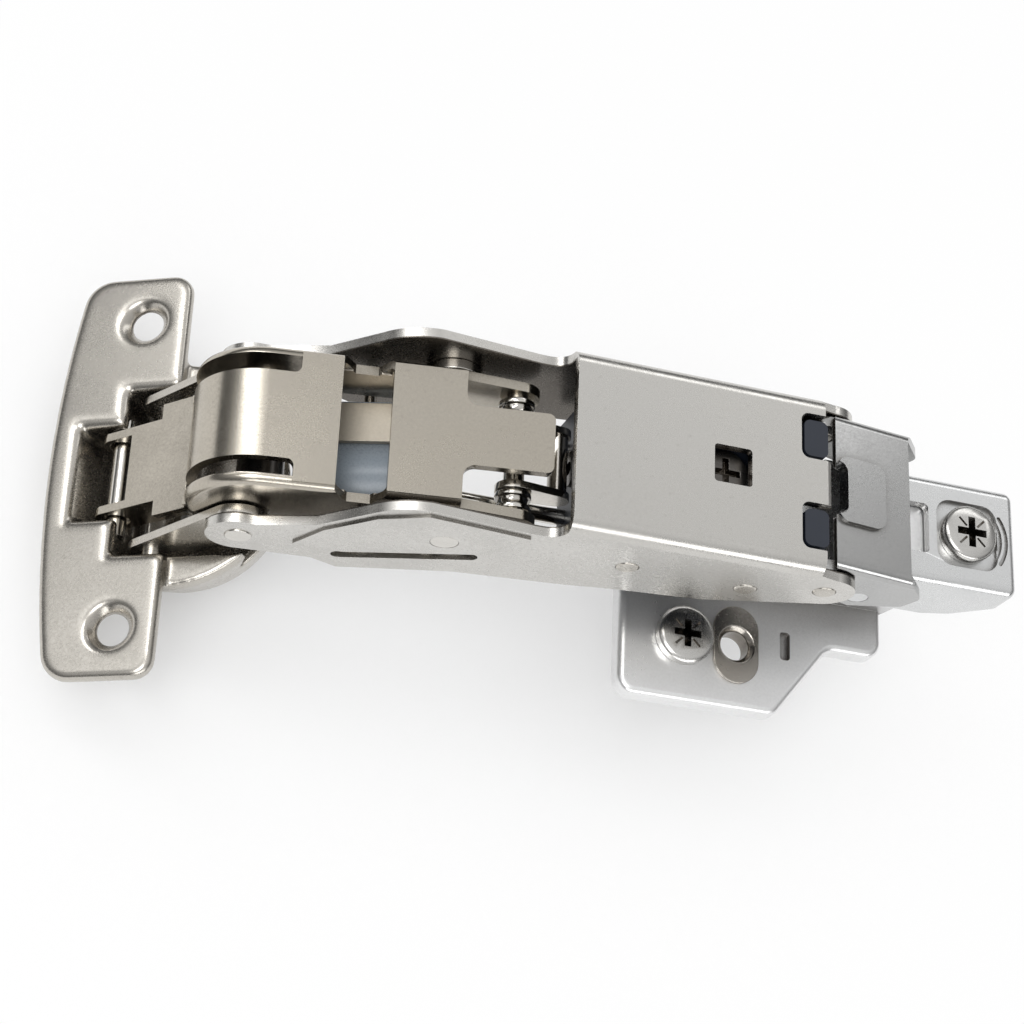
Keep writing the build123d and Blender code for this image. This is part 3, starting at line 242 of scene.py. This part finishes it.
@dataclass(frozen=True)
class Plating:
    """A plated or polished metal finish, with painted shade in its crevices and folds."""

    name: str
    colour: Colour
    dull: Colour
    roughness: float
    texture: Texture = Texture.TUMBLED
    grain_per_mm: float = 2.6
    grain_depth: float = 0.010
    smear: float = 0.08
    metallic: float = 1.0
    # painted shade: the dark brown that occluded crevices and folds turn towards, then how far and how
    # finely the occlusion looks
    crevice_shade: Colour = (0.075, 0.062, 0.048)
    crevice_shade_reach: float = 14.0
    crevice_shade_samples: int = 4
    crevice_shade_stops: Stops = ((0.34, 0.92), (0.90, 0.0))
    # painted shade: half width and top, in mm, of the inner faces that turn dark, then how dark they turn
    inside: Optional[tuple[float, float]] = None
    inside_shade: float = 0.85
    drawn_squeeze: Place = (0.12, 1.0, 1.0)
    cloud_per_m: float = 90.0
    cloud_stops: Stops = ((0.35, 0.0), (0.70, 1.0))
    cloud_share: float = 0.22
    speck_per_mm: float = 1.1
    speck_stops: Stops = ((0.66, 0.0), (0.76, 1.0))
    speck_share: float = 0.16
    grain_share: float = 0.55
    grain_gloss: float = 0.16
    bump: float = 0.35

    def inside_shade_mask(self, graph: ShaderGraph, at: Sock) -> Sock:
        """Return how much painted shade falls on the faces inside a folded sheet.

        Args:
            graph: The material's nodes.
            at: Place on the piece.

        Returns:
            A mask that is nought on the outer faces.
        """
        half, top = self.inside
        across, height = (graph.node("SeparateXYZ", None, {0: at}, out=axis) for axis in (1, 2))
        return self.inside_shade * (abs(across) < half * MM) * (height < top * MM)

    def crevice_shade_mask(self, graph: ShaderGraph) -> Sock:
        """Find how much painted shade a place takes from how deep it lies in the folds of its own sheet.

        Args:
            graph: The material's nodes.

        Returns:
            A mask that is nought on open faces.
        """
        closed = graph.node("AmbientOcclusion", {"samples": self.crevice_shade_samples, "only_local": True},
                            {"Distance": self.crevice_shade_reach * MM}, out="AO")
        return graph.ramp(closed, *self.crevice_shade_stops)

    def material(self) -> bpy.types.Material:
        """Build the finish.

        Returns:
            A new material.
        """
        made = bpy.data.materials.new(self.name)
        made.use_nodes = True
        graph = ShaderGraph(made.node_tree)
        at = graph.node("TexCoord", out="Object")
        if self.texture is Texture.DRAWN:
            at = graph.node("Mapping", None, {"Vector": at, "Scale": self.drawn_squeeze})
        grain = graph.noise(at, self.grain_per_mm / MM, rough=0.6)
        cloud = graph.ramp(graph.noise(at, self.cloud_per_m, detail=4.0, rough=0.6), *self.cloud_stops)
        speck = graph.ramp(graph.noise(at, self.speck_per_mm / MM, detail=1.0), *self.speck_stops)
        worn = self.cloud_share * cloud + self.speck_share * speck + self.grain_share * grain
        colour = graph.mix_colour(worn, rgba(self.colour), rgba(self.dull))
        # painted shade: crevices and folds of the piece's own sheet darken towards dark brown
        colour = graph.mix_colour(self.crevice_shade_mask(graph), colour, rgba(self.crevice_shade))
        # painted shade on the inner faces of a folded sheet
        if self.inside:
            colour = graph.mix_colour(self.inside_shade_mask(graph, at), colour, rgba(self.crevice_shade))
        rough = self.roughness + self.smear * (cloud - 0.5) + self.grain_gloss * (grain - 0.5)
        raised = graph.node("Bump", None, {
            "Strength": self.bump, "Distance": self.grain_depth * MM, "Height": grain})
        shade = graph.node("BsdfPrincipled", None, {
            "Base Color": colour, "Metallic": self.metallic, "Roughness": rough, "Normal": raised})
        graph.node("OutputMaterial", None, {"Surface": shade})
        return made


@dataclass(frozen=True)
class Moulding:
    """A moulded plastic finish."""

    name: str
    colour: Colour
    roughness: float
    pits_per_mm: float = 3.0
    pit_depth: float = 0.02
    pit_gloss: float = 0.15
    bump: float = 0.3
    cloud_per_m: float = 120.0
    cloud_share: float = 0.5
    paler: float = 1.35
    pale_lift: float = 0.004

    def material(self) -> bpy.types.Material:
        """Build the finish.

        Returns:
            A new material.
        """
        made = bpy.data.materials.new(self.name)
        made.use_nodes = True
        graph = ShaderGraph(made.node_tree)
        at = graph.node("TexCoord", out="Object")
        pits = graph.noise(at, self.pits_per_mm / MM)
        cloud = graph.noise(at, self.cloud_per_m, detail=3.0)
        pale = tuple(min(1.0, self.paler * part + self.pale_lift) for part in self.colour)
        colour = graph.mix_colour(self.cloud_share * cloud, rgba(self.colour), rgba(pale))
        rough = self.roughness + self.pit_gloss * (pits - 0.5)
        raised = graph.node("Bump", None, {
            "Strength": self.bump, "Distance": self.pit_depth * MM, "Height": pits})
        shade = graph.node("BsdfPrincipled", None, {
            "Base Color": colour, "Roughness": rough, "Normal": raised})
        graph.node("OutputMaterial", None, {"Surface": shade})
        return made


Finish = Union[Plating, Moulding]


@dataclass(frozen=True)
class Finishes:
    """Every finish on the hinge."""

    warm: Plating = Plating(
        "satin_warm_nickel", (0.62, 0.592, 0.545), (0.40, 0.377, 0.335), 0.27)
    # the arm's sheet: painted shade reaches far into its folds and covers its inner faces
    folded: Plating = Plating(
        "folded_nickel", (0.69, 0.675, 0.645), (0.46, 0.447, 0.42), 0.28,
        crevice_shade_reach=30.0, inside=(12.4, 28.2))
    lever: Plating = Plating(
        "tumbled_warm_nickel", (0.55, 0.512, 0.445), (0.37, 0.338, 0.285), 0.24)
    eyelet: Plating = Plating(
        "burnished_eyelet", (0.50, 0.47, 0.43), (0.34, 0.32, 0.29), 0.24, crevice_shade_reach=5.0)
    bright: Plating = Plating(
        "bright_nickel", (0.74, 0.71, 0.66), (0.55, 0.52, 0.47), 0.20, grain_depth=0.005)
    zinc: Plating = Plating(
        "satin_zinc", (0.76, 0.765, 0.765), (0.54, 0.545, 0.545), 0.30, metallic=0.95)
    channel: Plating = Plating(
        "drawn_zinc", (0.51, 0.51, 0.505), (0.35, 0.35, 0.345), 0.24)
    # pale zinc, lightened further as painted light that makes up for the shade under the arm
    cast: Plating = Plating(
        "cast_zinc", (0.90, 0.90, 0.90), (0.68, 0.68, 0.68), 0.34, metallic=0.85)
    pin: Plating = Plating(
        "polished_pin", (0.72, 0.70, 0.66), (0.58, 0.56, 0.52), 0.16, Texture.DRAWN, 6.0, 0.004)
    screw: Plating = Plating(
        "plated_screw", (0.66, 0.65, 0.63), (0.48, 0.47, 0.45), 0.26, Texture.TUMBLED, 5.0, 0.004)
    wire: Plating = Plating(
        "spring_wire", (0.17, 0.16, 0.15), (0.07, 0.065, 0.06), 0.30, Texture.DRAWN)
    strip: Plating = Plating(
        "dull_strip", (0.52, 0.47, 0.39), (0.38, 0.34, 0.28), 0.45, metallic=0.6)
    dark: Moulding = Moulding("dark_moulding", (0.012, 0.016, 0.026), 0.42)
    grey: Moulding = Moulding("grey_moulding", (0.25, 0.29, 0.33), 0.28)


class Paintbox:
    """Makes each finish's material once."""

    def __init__(self) -> None:
        """Start with no material."""
        self.made: dict[str, bpy.types.Material] = {}

    def __call__(self, finish: Finish) -> bpy.types.Material:
        """Find the material of a finish, or make it.

        Args:
            finish: What a piece is finished with.

        Returns:
            The one material of that finish.
        """
        if finish.name not in self.made:
            self.made[finish.name] = finish.material()
        return self.made[finish.name]


def softened(node: str, width: float, segments: int = 2, angle: float = 28.0) -> bpy.types.Object:
    """Copy a node with its sharp edges rounded over.

    Args:
        node: The CAD node.
        width: Width of the rounding, in mm.
        segments: Steps of the rounding.
        angle: Edges sharper than this are rounded, in degrees.

    Returns:
        The copy, which stands for the node and rides on its body.
    """
    source = frame["nodes"][node]
    mesh = source.data.copy()
    mesh.materials.clear()
    work = bmesh.new()
    work.from_mesh(mesh)
    bmesh.ops.remove_doubles(work, verts=work.verts, dist=WELD)
    bmesh.ops.dissolve_limit(work, angle_limit=radians(FLAT_DEG), verts=work.verts, edges=work.edges)
    work.to_mesh(mesh)
    work.free()
    mesh.polygons.foreach_set("use_smooth", [True] * len(mesh.polygons))
    piece = bpy.data.objects.new(node + "_form", mesh)
    bpy.context.scene.collection.objects.link(piece)
    if width > 0:
        bevel = piece.modifiers.new("edge", "BEVEL")
        bevel.width = width * MM
        bevel.segments = segments
        bevel.limit_method = "ANGLE"
        bevel.angle_limit = radians(angle)
        bevel.use_clamp_overlap = True
        apply_modifiers(piece)
    piece.data.set_sharp_from_angle(angle=radians(SHARP_DEG))
    even = piece.modifiers.new("flats", "WEIGHTED_NORMAL")
    even.keep_sharp = True
    even.weight = FLAT_WEIGHT
    apply_modifiers(piece)
    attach(piece, source["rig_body"])
    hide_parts(node)
    return piece


def pressed(node: str, tilt: float, cell: float, passes: int) -> bpy.types.Object:
    """Copy a node as a deep-drawn sheet, with every edge and corner flowing into the next.

    Args:
        node: The CAD node.
        tilt: Turn about Y that lays its main face flat, in degrees.
        cell: Size of the even mesh, in mm.
        passes: How often the mesh is relaxed.

    Returns:
        The copy, not yet dressed.
    """
    flat = Matrix.Rotation(radians(tilt), 4, "Y")
    mesh = frame["nodes"][node].data.copy()
    mesh.materials.clear()
    mesh.transform(flat)
    piece = bpy.data.objects.new(node + "_form", mesh)
    bpy.context.scene.collection.objects.link(piece)
    even = piece.modifiers.new("even", "REMESH")
    even.mode = "VOXEL"
    even.voxel_size = cell * MM
    flow = piece.modifiers.new("flow", "SMOOTH")
    flow.factor = RELAX
    flow.iterations = passes
    apply_modifiers(piece)
    piece.data.transform(flat.inverted())
    piece.data.polygons.foreach_set("use_smooth", [True] * len(piece.data.polygons))
    return piece


def apply_modifiers(piece: bpy.types.Object) -> None:
    """Bake a piece's modifiers into its mesh.

    Args:
        piece: The piece that carries them.
    """
    view = bpy.context.evaluated_depsgraph_get()
    baked = bpy.data.meshes.new_from_object(piece.evaluated_get(view))
    piece.modifiers.clear()
    piece.data = baked


Radius = Callable[[float, float], float]


def turned(work: bmesh.types.BMesh, at: tuple[float, float], rows: Iterable[tuple[float, float]],
           steps: int, swell: Optional[Radius] = None) -> None:
    """Add one closed turned body on an upright axis to a mesh.

    Args:
        work: The mesh that takes the body.
        at: Where the axis stands, in mm.
        rows: Height and radius of each ring, from the foot up.
        steps: Steps round the axis.
        swell: Factor on the radius at a height and an angle.
    """
    rings = []
    for height, away in rows:
        ring = []
        for step in range(steps):
            angle = 2 * pi * step / steps
            reach = away * (swell(height, angle) if swell else 1.0)
            place = Vector((at[0] + reach * cos(angle), at[1] + reach * sin(angle), height))
            ring.append(work.verts.new(place * MM))
        rings.append(ring)
    for low, high in zip(rings, rings[1:]):
        for step in range(steps):
            after = (step + 1) % steps
            work.faces.new((low[step], low[after], high[after], high[step]))
    work.faces.new(list(reversed(rings[0])))
    work.faces.new(rings[-1])


def new_piece(name: str, work: bmesh.types.BMesh) -> bpy.types.Object:
    """Turn a finished mesh into a linked object.

    Args:
        name: Name of the piece.
        work: Its mesh, which is used up.

    Returns:
        The piece.
    """
    bmesh.ops.recalc_face_normals(work, faces=work.faces)
    mesh = bpy.data.meshes.new(name)
    work.to_mesh(mesh)
    work.free()
    piece = bpy.data.objects.new(name, mesh)
    bpy.context.scene.collection.objects.link(piece)
    return piece


def shaded(piece: bpy.types.Object, angle: float = 35.0) -> None:
    """Shade a piece smooth up to an angle between its faces."""
    piece.data.polygons.foreach_set("use_smooth", [True] * len(piece.data.polygons))
    piece.data.set_sharp_from_angle(angle=radians(angle))


def carve(piece: bpy.types.Object, tool: bpy.types.Object) -> None:
    """Cut a tool out of a piece and drop the tool.

    Args:
        piece: What is cut.
        tool: The cutter.
    """
    cut = piece.modifiers.new("cut", "BOOLEAN")
    cut.operation = "DIFFERENCE"
    cut.solver = "EXACT"
    cut.use_self = True
    cut.object = tool
    apply_modifiers(piece)
    bpy.data.objects.remove(tool)


@dataclass(frozen=True)
class DriverRecess:
    """The cross recess of an adjusting or fixing screw, with four thin marks between its arms."""

    arm: float = 2.3
    width: float = 1.15
    depth: float = 2.6
    taper: float = 0.5
    mark_from: float = 1.2
    mark_to: float = 2.7
    mark_width: float = 0.34
    mark_depth: float = 0.4

    def tool(self, tops: Iterable[Place]) -> bpy.types.Object:
        """Build the cutter.

        Args:
            tops: Centre of each screw's top face, in mm.

        Returns:
            One cutter for all the screws.
        """
        work = bmesh.new()
        for top in tops:
            for turn in range(2):
                self._arm(work, top, 90.0 * turn, -self.arm, self.arm, self.width, self.depth, self.taper)
            for turn in range(4):
                self._arm(work, top, 45.0 + 90.0 * turn, self.mark_from, self.mark_to, self.mark_width,
                          self.mark_depth, 1.0)
        return new_piece("recess_tool", work)

    @staticmethod
    def _arm(work: bmesh.types.BMesh, top: Place, turn: float, start: float, end: float,
             width: float, depth: float, taper: float) -> None:
        """Add one arm of the cutter, narrower at its foot.

        Args:
            work: The mesh that takes the arm.
            top: Centre of the screw's top face, in mm.
            turn: Turn of the arm about the screw, in degrees.
            start: Where the arm begins, from the centre.
            end: Where it ends.
            width: Its width at the top.
            depth: Its depth below the top.
            taper: Share of its size that is left at the foot.
        """
        place = Matrix.Translation(Vector(top)) @ Matrix.Rotation(radians(turn), 4, "Z")
        corners = []
        for height, scale in ((-depth, taper), (CUT_PROUD, 1.0)):
            half = width / 2 * scale
            low, high = start * scale, end * scale
            for x, y in ((low, -half), (high, -half), (high, half), (low, half)):
                corners.append(work.verts.new(place @ Vector((x, y, height)) * MM))
        foot, lid = corners[:4], corners[4:]
        work.faces.new(list(reversed(foot)))
        work.faces.new(lid)
        for step in range(4):
            after = (step + 1) % 4
            work.faces.new((foot[step], foot[after], lid[after], lid[step]))


@dataclass(frozen=True)
class TurnedHead:
    """The round head of an adjusting or fixing screw, with its crown as drops and steps inward."""

    seat: float
    top: float
    radius: float
    under: float
    crown: Stops
    steps: int

    def rows(self) -> list[tuple[float, float]]:
        """Return height and radius of its rings, from the seat up."""
        rings = [(self.seat, self.radius - self.under), (self.seat + self.under, self.radius)]
        return rings + [(self.top - drop, self.radius - inset) for drop, inset in self.crown]


@dataclass
class SubAssembly:
    """One group of nodes with their finishes and edge widths."""

    paint: Paintbox
    finishes: Finishes
    pieces: list[bpy.types.Object] = field(default_factory=list)

    def dress(self, node: str, finish: Finish, width: float, slot: str) -> bpy.types.Object:
        """Round a node's edges and give it a finish.

        Args:
            node: The CAD node.
            finish: What it is finished with.
            width: Width of its rounded edges, in mm.
            slot: The record's material slot; not used.

        Returns:
            The dressed piece.
        """
        piece = softened(node, width)
        piece.data.materials.append(self.paint(finish))
        self.pieces.append(piece)
        LOG.info("%s: %d faces", piece.name, len(piece.data.polygons))
        return piece

    def adopt(self, piece: bpy.types.Object, node: str, finish: Finish, slot: str) -> None:
        """Let a piece built here stand for a node.

        Args:
            piece: The finished piece.
            node: The CAD node that it stands for.
            finish: What it is finished with.
            slot: The record's material slot; not used.
        """
        piece.data.materials.clear()
        piece.data.materials.append(self.paint(finish))
        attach(piece, frame["nodes"][node]["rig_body"])
        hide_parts(node)
        self.pieces.append(piece)
        LOG.info("%s: %d faces", piece.name, len(piece.data.polygons))


@dataclass
class CupGroup(SubAssembly):
    """The cup with its flange and pins."""

    tilt: float = 32.0
    press_cell: float = 0.32
    press_passes: int = 20
    pin_edge: float = 0.15

    def build(self) -> None:
        """Dress the cup, its pin and its rivets."""
        cup = pressed("hinge_cup", self.tilt, self.press_cell, self.press_passes)
        self.adopt(cup, "hinge_cup", self.finishes.warm, "warm_nickel")
        self.dress("cup_pin", self.finishes.pin, self.pin_edge, "bright_steel")
        self.dress("cup_link_rivets", self.finishes.pin, self.pin_edge, "bright_steel")


@dataclass
class LinkGroup(SubAssembly):
    """The cup link, the saddle link and the outer lever with their pins."""

    sheet_edge: float = 0.4
    pin_edge: float = 0.15

    def build(self) -> None:
        """Dress the moving links."""
        self.dress("cup_link", self.finishes.warm, self.sheet_edge, "warm_nickel")
        self.dress("saddle_link", self.finishes.lever, self.sheet_edge, "bright_nickel")
        self.dress("outer_lever", self.finishes.lever, self.sheet_edge, "warm_nickel")
        self.dress("spring_link", self.finishes.bright, self.sheet_edge, "bright_nickel")
        for node in ("knuckle_pin", "lever_pin", "tail_pin", "nose_rivets", "lever_spacers", "tail_spacers"):
            self.dress(node, self.finishes.pin, self.pin_edge, "bright_steel")
        self.dress("knuckle_bush", self.finishes.wire, PLAIN, "spring_steel")


@dataclass
class ArmGroup(SubAssembly):
    """The arm with the damper inside it."""

    sheet_edge: float = 0.4
    plastic_edge: float = 0.25
    strip_edge: float = 0.15
    pin_edge: float = 0.1

    def build(self) -> None:
        """Dress the arm, the damper and the slider."""
        self.dress("arm_body", self.finishes.folded, self.sheet_edge, "warm_nickel")
        self.dress("arm_pivot_rivets", self.finishes.warm, self.sheet_edge, "bright_steel")
        self.dress("housing_pins", self.finishes.warm, self.sheet_edge, "bright_steel")
        self.dress("slider_pins", self.finishes.pin, self.pin_edge, "bright_steel")
        self.dress("damper_housing", self.finishes.dark, self.plastic_edge, "dark_plastic")
        self.dress("closing_spring", self.finishes.wire, PLAIN, "spring_steel")
        self.dress("damper_pistons", self.finishes.pin, PLAIN, "spring_steel")
        self.dress("damper_slider", self.finishes.grey, self.plastic_edge, "grey_plastic")
        self.dress("push_plate", self.finishes.strip, self.strip_edge, "bright_nickel")


@dataclass
class CarrierGroup(SubAssembly):
    """The mid channel, the rear adapter and their adjusting screws."""

    sheet_edge: float = 0.3
    rivet_edge: float = 0.15
    screw_edge: float = 0.1
    cam_at: float = 37.5
    cam_foot: float = 17.0
    cam_low: float = 19.3
    cam_neck_r: float = 3.1
    cam_head: TurnedHead = TurnedHead(20.1, 22.3, 4.3, 0.1, ((0.55, 0.0), (0.25, 0.2), (0.0, 0.6)), 56)
    cam_pin_r: float = 1.0
    cam_pin_point: float = 0.2
    cam_pin_steps: int = 24
    cam_offset: float = 2.0
    recess: DriverRecess = DriverRecess(arm=2.6, width=1.25, depth=2.2, mark_to=2.9)

    def cam(self) -> None:
        """Build the depth cam: a stepped head with its recess, and the eccentric pin below."""
        work = bmesh.new()
        neck = [(self.cam_low, self.cam_neck_r), (self.cam_head.seat, self.cam_neck_r)]
        turned(work, (self.cam_at, 0.0), neck + self.cam_head.rows(), self.cam_head.steps)
        head = new_piece("depth_cam_head", work)
        carve(head, self.recess.tool([(self.cam_at, 0.0, self.cam_head.top)]))
        work = bmesh.new()
        rows = [(self.cam_foot, self.cam_pin_r - self.cam_pin_point),
                (self.cam_foot + self.cam_pin_point, self.cam_pin_r), (self.cam_low, self.cam_pin_r)]
        turned(work, (self.cam_at, self.cam_offset), rows, self.cam_pin_steps)
        pin = new_piece("depth_cam_pin", work)
        for piece in (head, pin):
            shaded(piece)
            self.adopt(piece, "depth_cam", self.finishes.screw, "screw_zinc")

    def build(self) -> None:
        """Dress the carrier."""
        self.dress("mid_channel", self.finishes.channel, self.sheet_edge, "bright_nickel")
        self.dress("rear_adapter", self.finishes.zinc, self.sheet_edge, "zinc")
        self.dress("carrier_rivets", self.finishes.zinc, self.rivet_edge, "bright_steel")
        self.dress("overlay_screw", self.finishes.wire, self.screw_edge, "screw_zinc")
        self.cam()


@dataclass
class PlateGroup(SubAssembly):
    """The wing plate with its screws, eyelets and latch."""

    sheet_edge: float = 0.3
    latch_edge: float = 0.2
    eyelet_edge: float = 0.15
    pin_edge: float = 0.1
    screw_y: tuple[float, float] = (-16.0, 16.0)
    screw_foot: float = -11.0
    thread_top: float = -0.3
    thread_r: float = 3.1
    root_r: float = 2.35
    thread_pitch: float = 1.8
    thread_rows: int = 72
    thread_steps: int = 28
    ridge_share: float = 0.28
    point_length: float = 2.2
    point_least: float = 0.25
    point_share: float = 0.35
    neck_r: float = 3.3
    neck_break: float = 0.3
    head: TurnedHead = TurnedHead(3.0, 4.9, 4.4, 0.15, ((0.5, 0.0), (0.15, 0.3), (0.0, 0.7)), 48)
    recess: DriverRecess = DriverRecess()

    def thread(self, height: float, angle: float) -> float:
        """Return the shank's radius as a share of its crest, with a taper at its foot.

        Args:
            height: Height on the screw, in mm.
            angle: Angle round the screw, in radians.

        Returns:
            The share, 1 on the crest of the thread.
        """
        phase = (height / self.thread_pitch - angle / (2 * pi)) % 1.0
        ridge = max(0.0, 1.0 - abs(phase - 0.5) / self.ridge_share)
        root = self.root_r / self.thread_r
        fade = min(1.0, max(self.point_least, (height - self.screw_foot) / self.point_length))
        return (root + (1.0 - root) * ridge) * (self.point_share + (1.0 - self.point_share) * fade)

    def screws(self) -> None:
        """Build the two panel screws with heads, recesses and threads."""
        rise = (self.thread_top - self.screw_foot) / self.thread_rows
        rows = [(self.screw_foot + rise * row, self.thread_r) for row in range(self.thread_rows + 1)]
        work = bmesh.new()
        for across in self.screw_y:
            turned(work, (0.0, across), rows, self.thread_steps, self.thread)
        shank = new_piece("panel_screw_threads", work)
        neck = [(self.thread_top, self.neck_r - self.neck_break),
                (self.thread_top + self.neck_break, self.neck_r), (self.head.seat, self.neck_r)]
        work = bmesh.new()
        for across in self.screw_y:
            turned(work, (0.0, across), neck + self.head.rows(), self.head.steps)
        heads = new_piece("panel_screw_heads", work)
        carve(heads, self.recess.tool([(0.0, across, self.head.top) for across in self.screw_y]))
        for piece in (shank, heads):
            shaded(piece)
            self.adopt(piece, "panel_screws", self.finishes.screw, "screw_zinc")

    def build(self) -> None:
        """Dress the plate."""
        self.dress("mounting_plate", self.finishes.cast, self.sheet_edge, "zinc")
        self.screws()
        self.dress("plate_eyelets", self.finishes.eyelet, self.eyelet_edge, "zinc")
        self.dress("release_latch", self.finishes.zinc, self.latch_edge, "zinc")
        self.dress("latch_pin", self.finishes.pin, self.pin_edge, "bright_steel")


@dataclass(frozen=True)
class Softbox:
    """One soft lamp: its centre, its width and height in mm, and its power in watts."""

    name: str
    place: Place
    size: tuple[float, float]
    power: float


@dataclass
class Studio:
    """The camera, the pale floor, the soft light and the surround."""

    eye: Place = (-126.13, -138.88, 301.28)
    right: Place = (0.94240, 0.04184, 0.33186)
    down: Place = (0.16963, -0.91488, -0.36637)
    view: Place = (0.28828, 0.40156, -0.86928)
    focal_px: float = 2357.9
    image_px: float = 1024.0
    sensor: float = 36.0
    near_clip: float = 5.0
    floor_drop: float = 0.05
    floor_half: float = 3000.0
    floor_tone: Colour = (0.86, 0.86, 0.86)
    floor_lift: float = 0.93
    shadow_reach: float = 50.0
    shadow_samples: int = 2
    white: Colour = (1.0, 1.0, 1.0)
    sky: Stops = ((0.0, 0.40), (0.50, 0.06), (0.66, 0.22), (0.78, 0.55), (0.92, 0.88), (1.0, 1.0))
    sky_strength: float = 0.85
    aim: Place = (-10.0, 0.0, 5.0)
    lamps: tuple[Softbox, ...] = (
        Softbox("key_softbox", (-420.0, -380.0, 850.0), (500.0, 500.0), 3.4),
        Softbox("rear_softbox", (350.0, 650.0, 600.0), (700.0, 250.0), 0.9),
        Softbox("side_softbox", (-600.0, 130.0, 400.0), (240.0, 240.0), 0.18),
        Softbox("roll_strip", (-345.0, 240.0, 480.0), (100.0, 460.0), 0.70),
        Softbox("near_softbox", (150.0, -700.0, 260.0), (900.0, 260.0), 2.2))

    def camera(self) -> None:
        """Place the camera at the photograph's viewing angle."""
        lens = bpy.data.cameras.new("camera")
        lens.sensor_width = self.sensor
        lens.sensor_fit = "HORIZONTAL"
        lens.lens = self.focal_px / self.image_px * self.sensor
        lens.clip_start = self.near_clip * MM
        held = bpy.data.objects.new("camera", lens)
        turn = Matrix((Vector(self.right), -Vector(self.down), -Vector(self.view))).transposed()
        held.matrix_world = Matrix.Translation(Vector(self.eye) * MM) @ turn.to_4x4()
        bpy.context.scene.collection.objects.link(held)
        bpy.context.scene.camera = held

    def floor(self) -> None:
        """Lay the pale floor just under the hinge, with a painted shadow where the hinge closes it in."""
        half = self.floor_half * MM
        level = CAD_BOX[0][2] - self.floor_drop * MM
        mesh = bpy.data.meshes.new("floor")
        corners = [(-half, -half, level), (half, -half, level), (half, half, level), (-half, half, level)]
        mesh.from_pydata(corners, [], [(0, 1, 2, 3)])
        plane = bpy.data.objects.new("floor", mesh)
        bpy.context.scene.collection.objects.link(plane)
        made = bpy.data.materials.new("pale_floor")
        made.use_nodes = True
        graph = ShaderGraph(made.node_tree)
        rays = ("Is Camera Ray", "Is Glossy Ray", "Is Transmission Ray")
        direct, glossy, through = (graph.node("LightPath", out=name) for name in rays)
        seen = direct + glossy + through
        matt = graph.node("BsdfDiffuse", None, {"Color": rgba(self.floor_tone)})
        glow = graph.node("Emission", None, {"Color": rgba(self.white), "Strength": 1.0})
        # painted shadow: near and under the hinge, occlusion takes away the floor's bright lift
        clear = graph.node("AmbientOcclusion", {"samples": self.shadow_samples},
                           {"Distance": self.shadow_reach * MM}, out="AO")
        lift = graph.node("MixShader", None, {0: self.floor_lift * seen * clear * clear, 1: matt, 2: glow})
        graph.node("OutputMaterial", None, {"Surface": lift})
        mesh.materials.append(made)

    def surround(self) -> None:
        """Set a soft surround that is brightest overhead."""
        world = bpy.data.worlds.new("studio")
        world.use_nodes = True
        bpy.context.scene.world = world
        graph = ShaderGraph(world.node_tree)
        way = graph.node("TexCoord", out="Generated")
        height = graph.node("SeparateXYZ", None, {0: way}, out=2)
        tone = graph.ramp(0.5 * height + 0.5, *self.sky)
        back = graph.node("Background", None, {"Color": tone, "Strength": self.sky_strength})
        graph.node("OutputWorld", None, {"Surface": back})

    def lamp(self, box: Softbox) -> None:
        """Hang one softbox that looks at the hinge.

        Args:
            box: The softbox.
        """
        light = bpy.data.lights.new(box.name, "AREA")
        light.shape = "RECTANGLE"
        light.size, light.size_y = (side * MM for side in box.size)
        light.energy = box.power
        hung = bpy.data.objects.new(box.name, light)
        hung.location = Vector(box.place) * MM
        hung.rotation_euler = (Vector(self.aim) - Vector(box.place)).to_track_quat("-Z", "Y").to_euler()
        bpy.context.scene.collection.objects.link(hung)

    def build(self) -> None:
        """Set up the whole studio."""
        self.camera()
        self.floor()
        self.surround()
        for box in self.lamps:
            self.lamp(box)
        bpy.context.scene.view_settings.view_transform = "Standard"


def main() -> None:
    """Build the studio and dress every sub-assembly."""
    logging.basicConfig(level=logging.INFO, format="%(name)s %(message)s")
    paint = Paintbox()
    finishes = Finishes()
    Studio().build()
    for group in (CupGroup, LinkGroup, ArmGroup, CarrierGroup, PlateGroup):
        made = group(paint, finishes)
        made.build()
        LOG.info("%s: %d pieces", group.__name__, len(made.pieces))


if __name__ == "__main__":
    main()
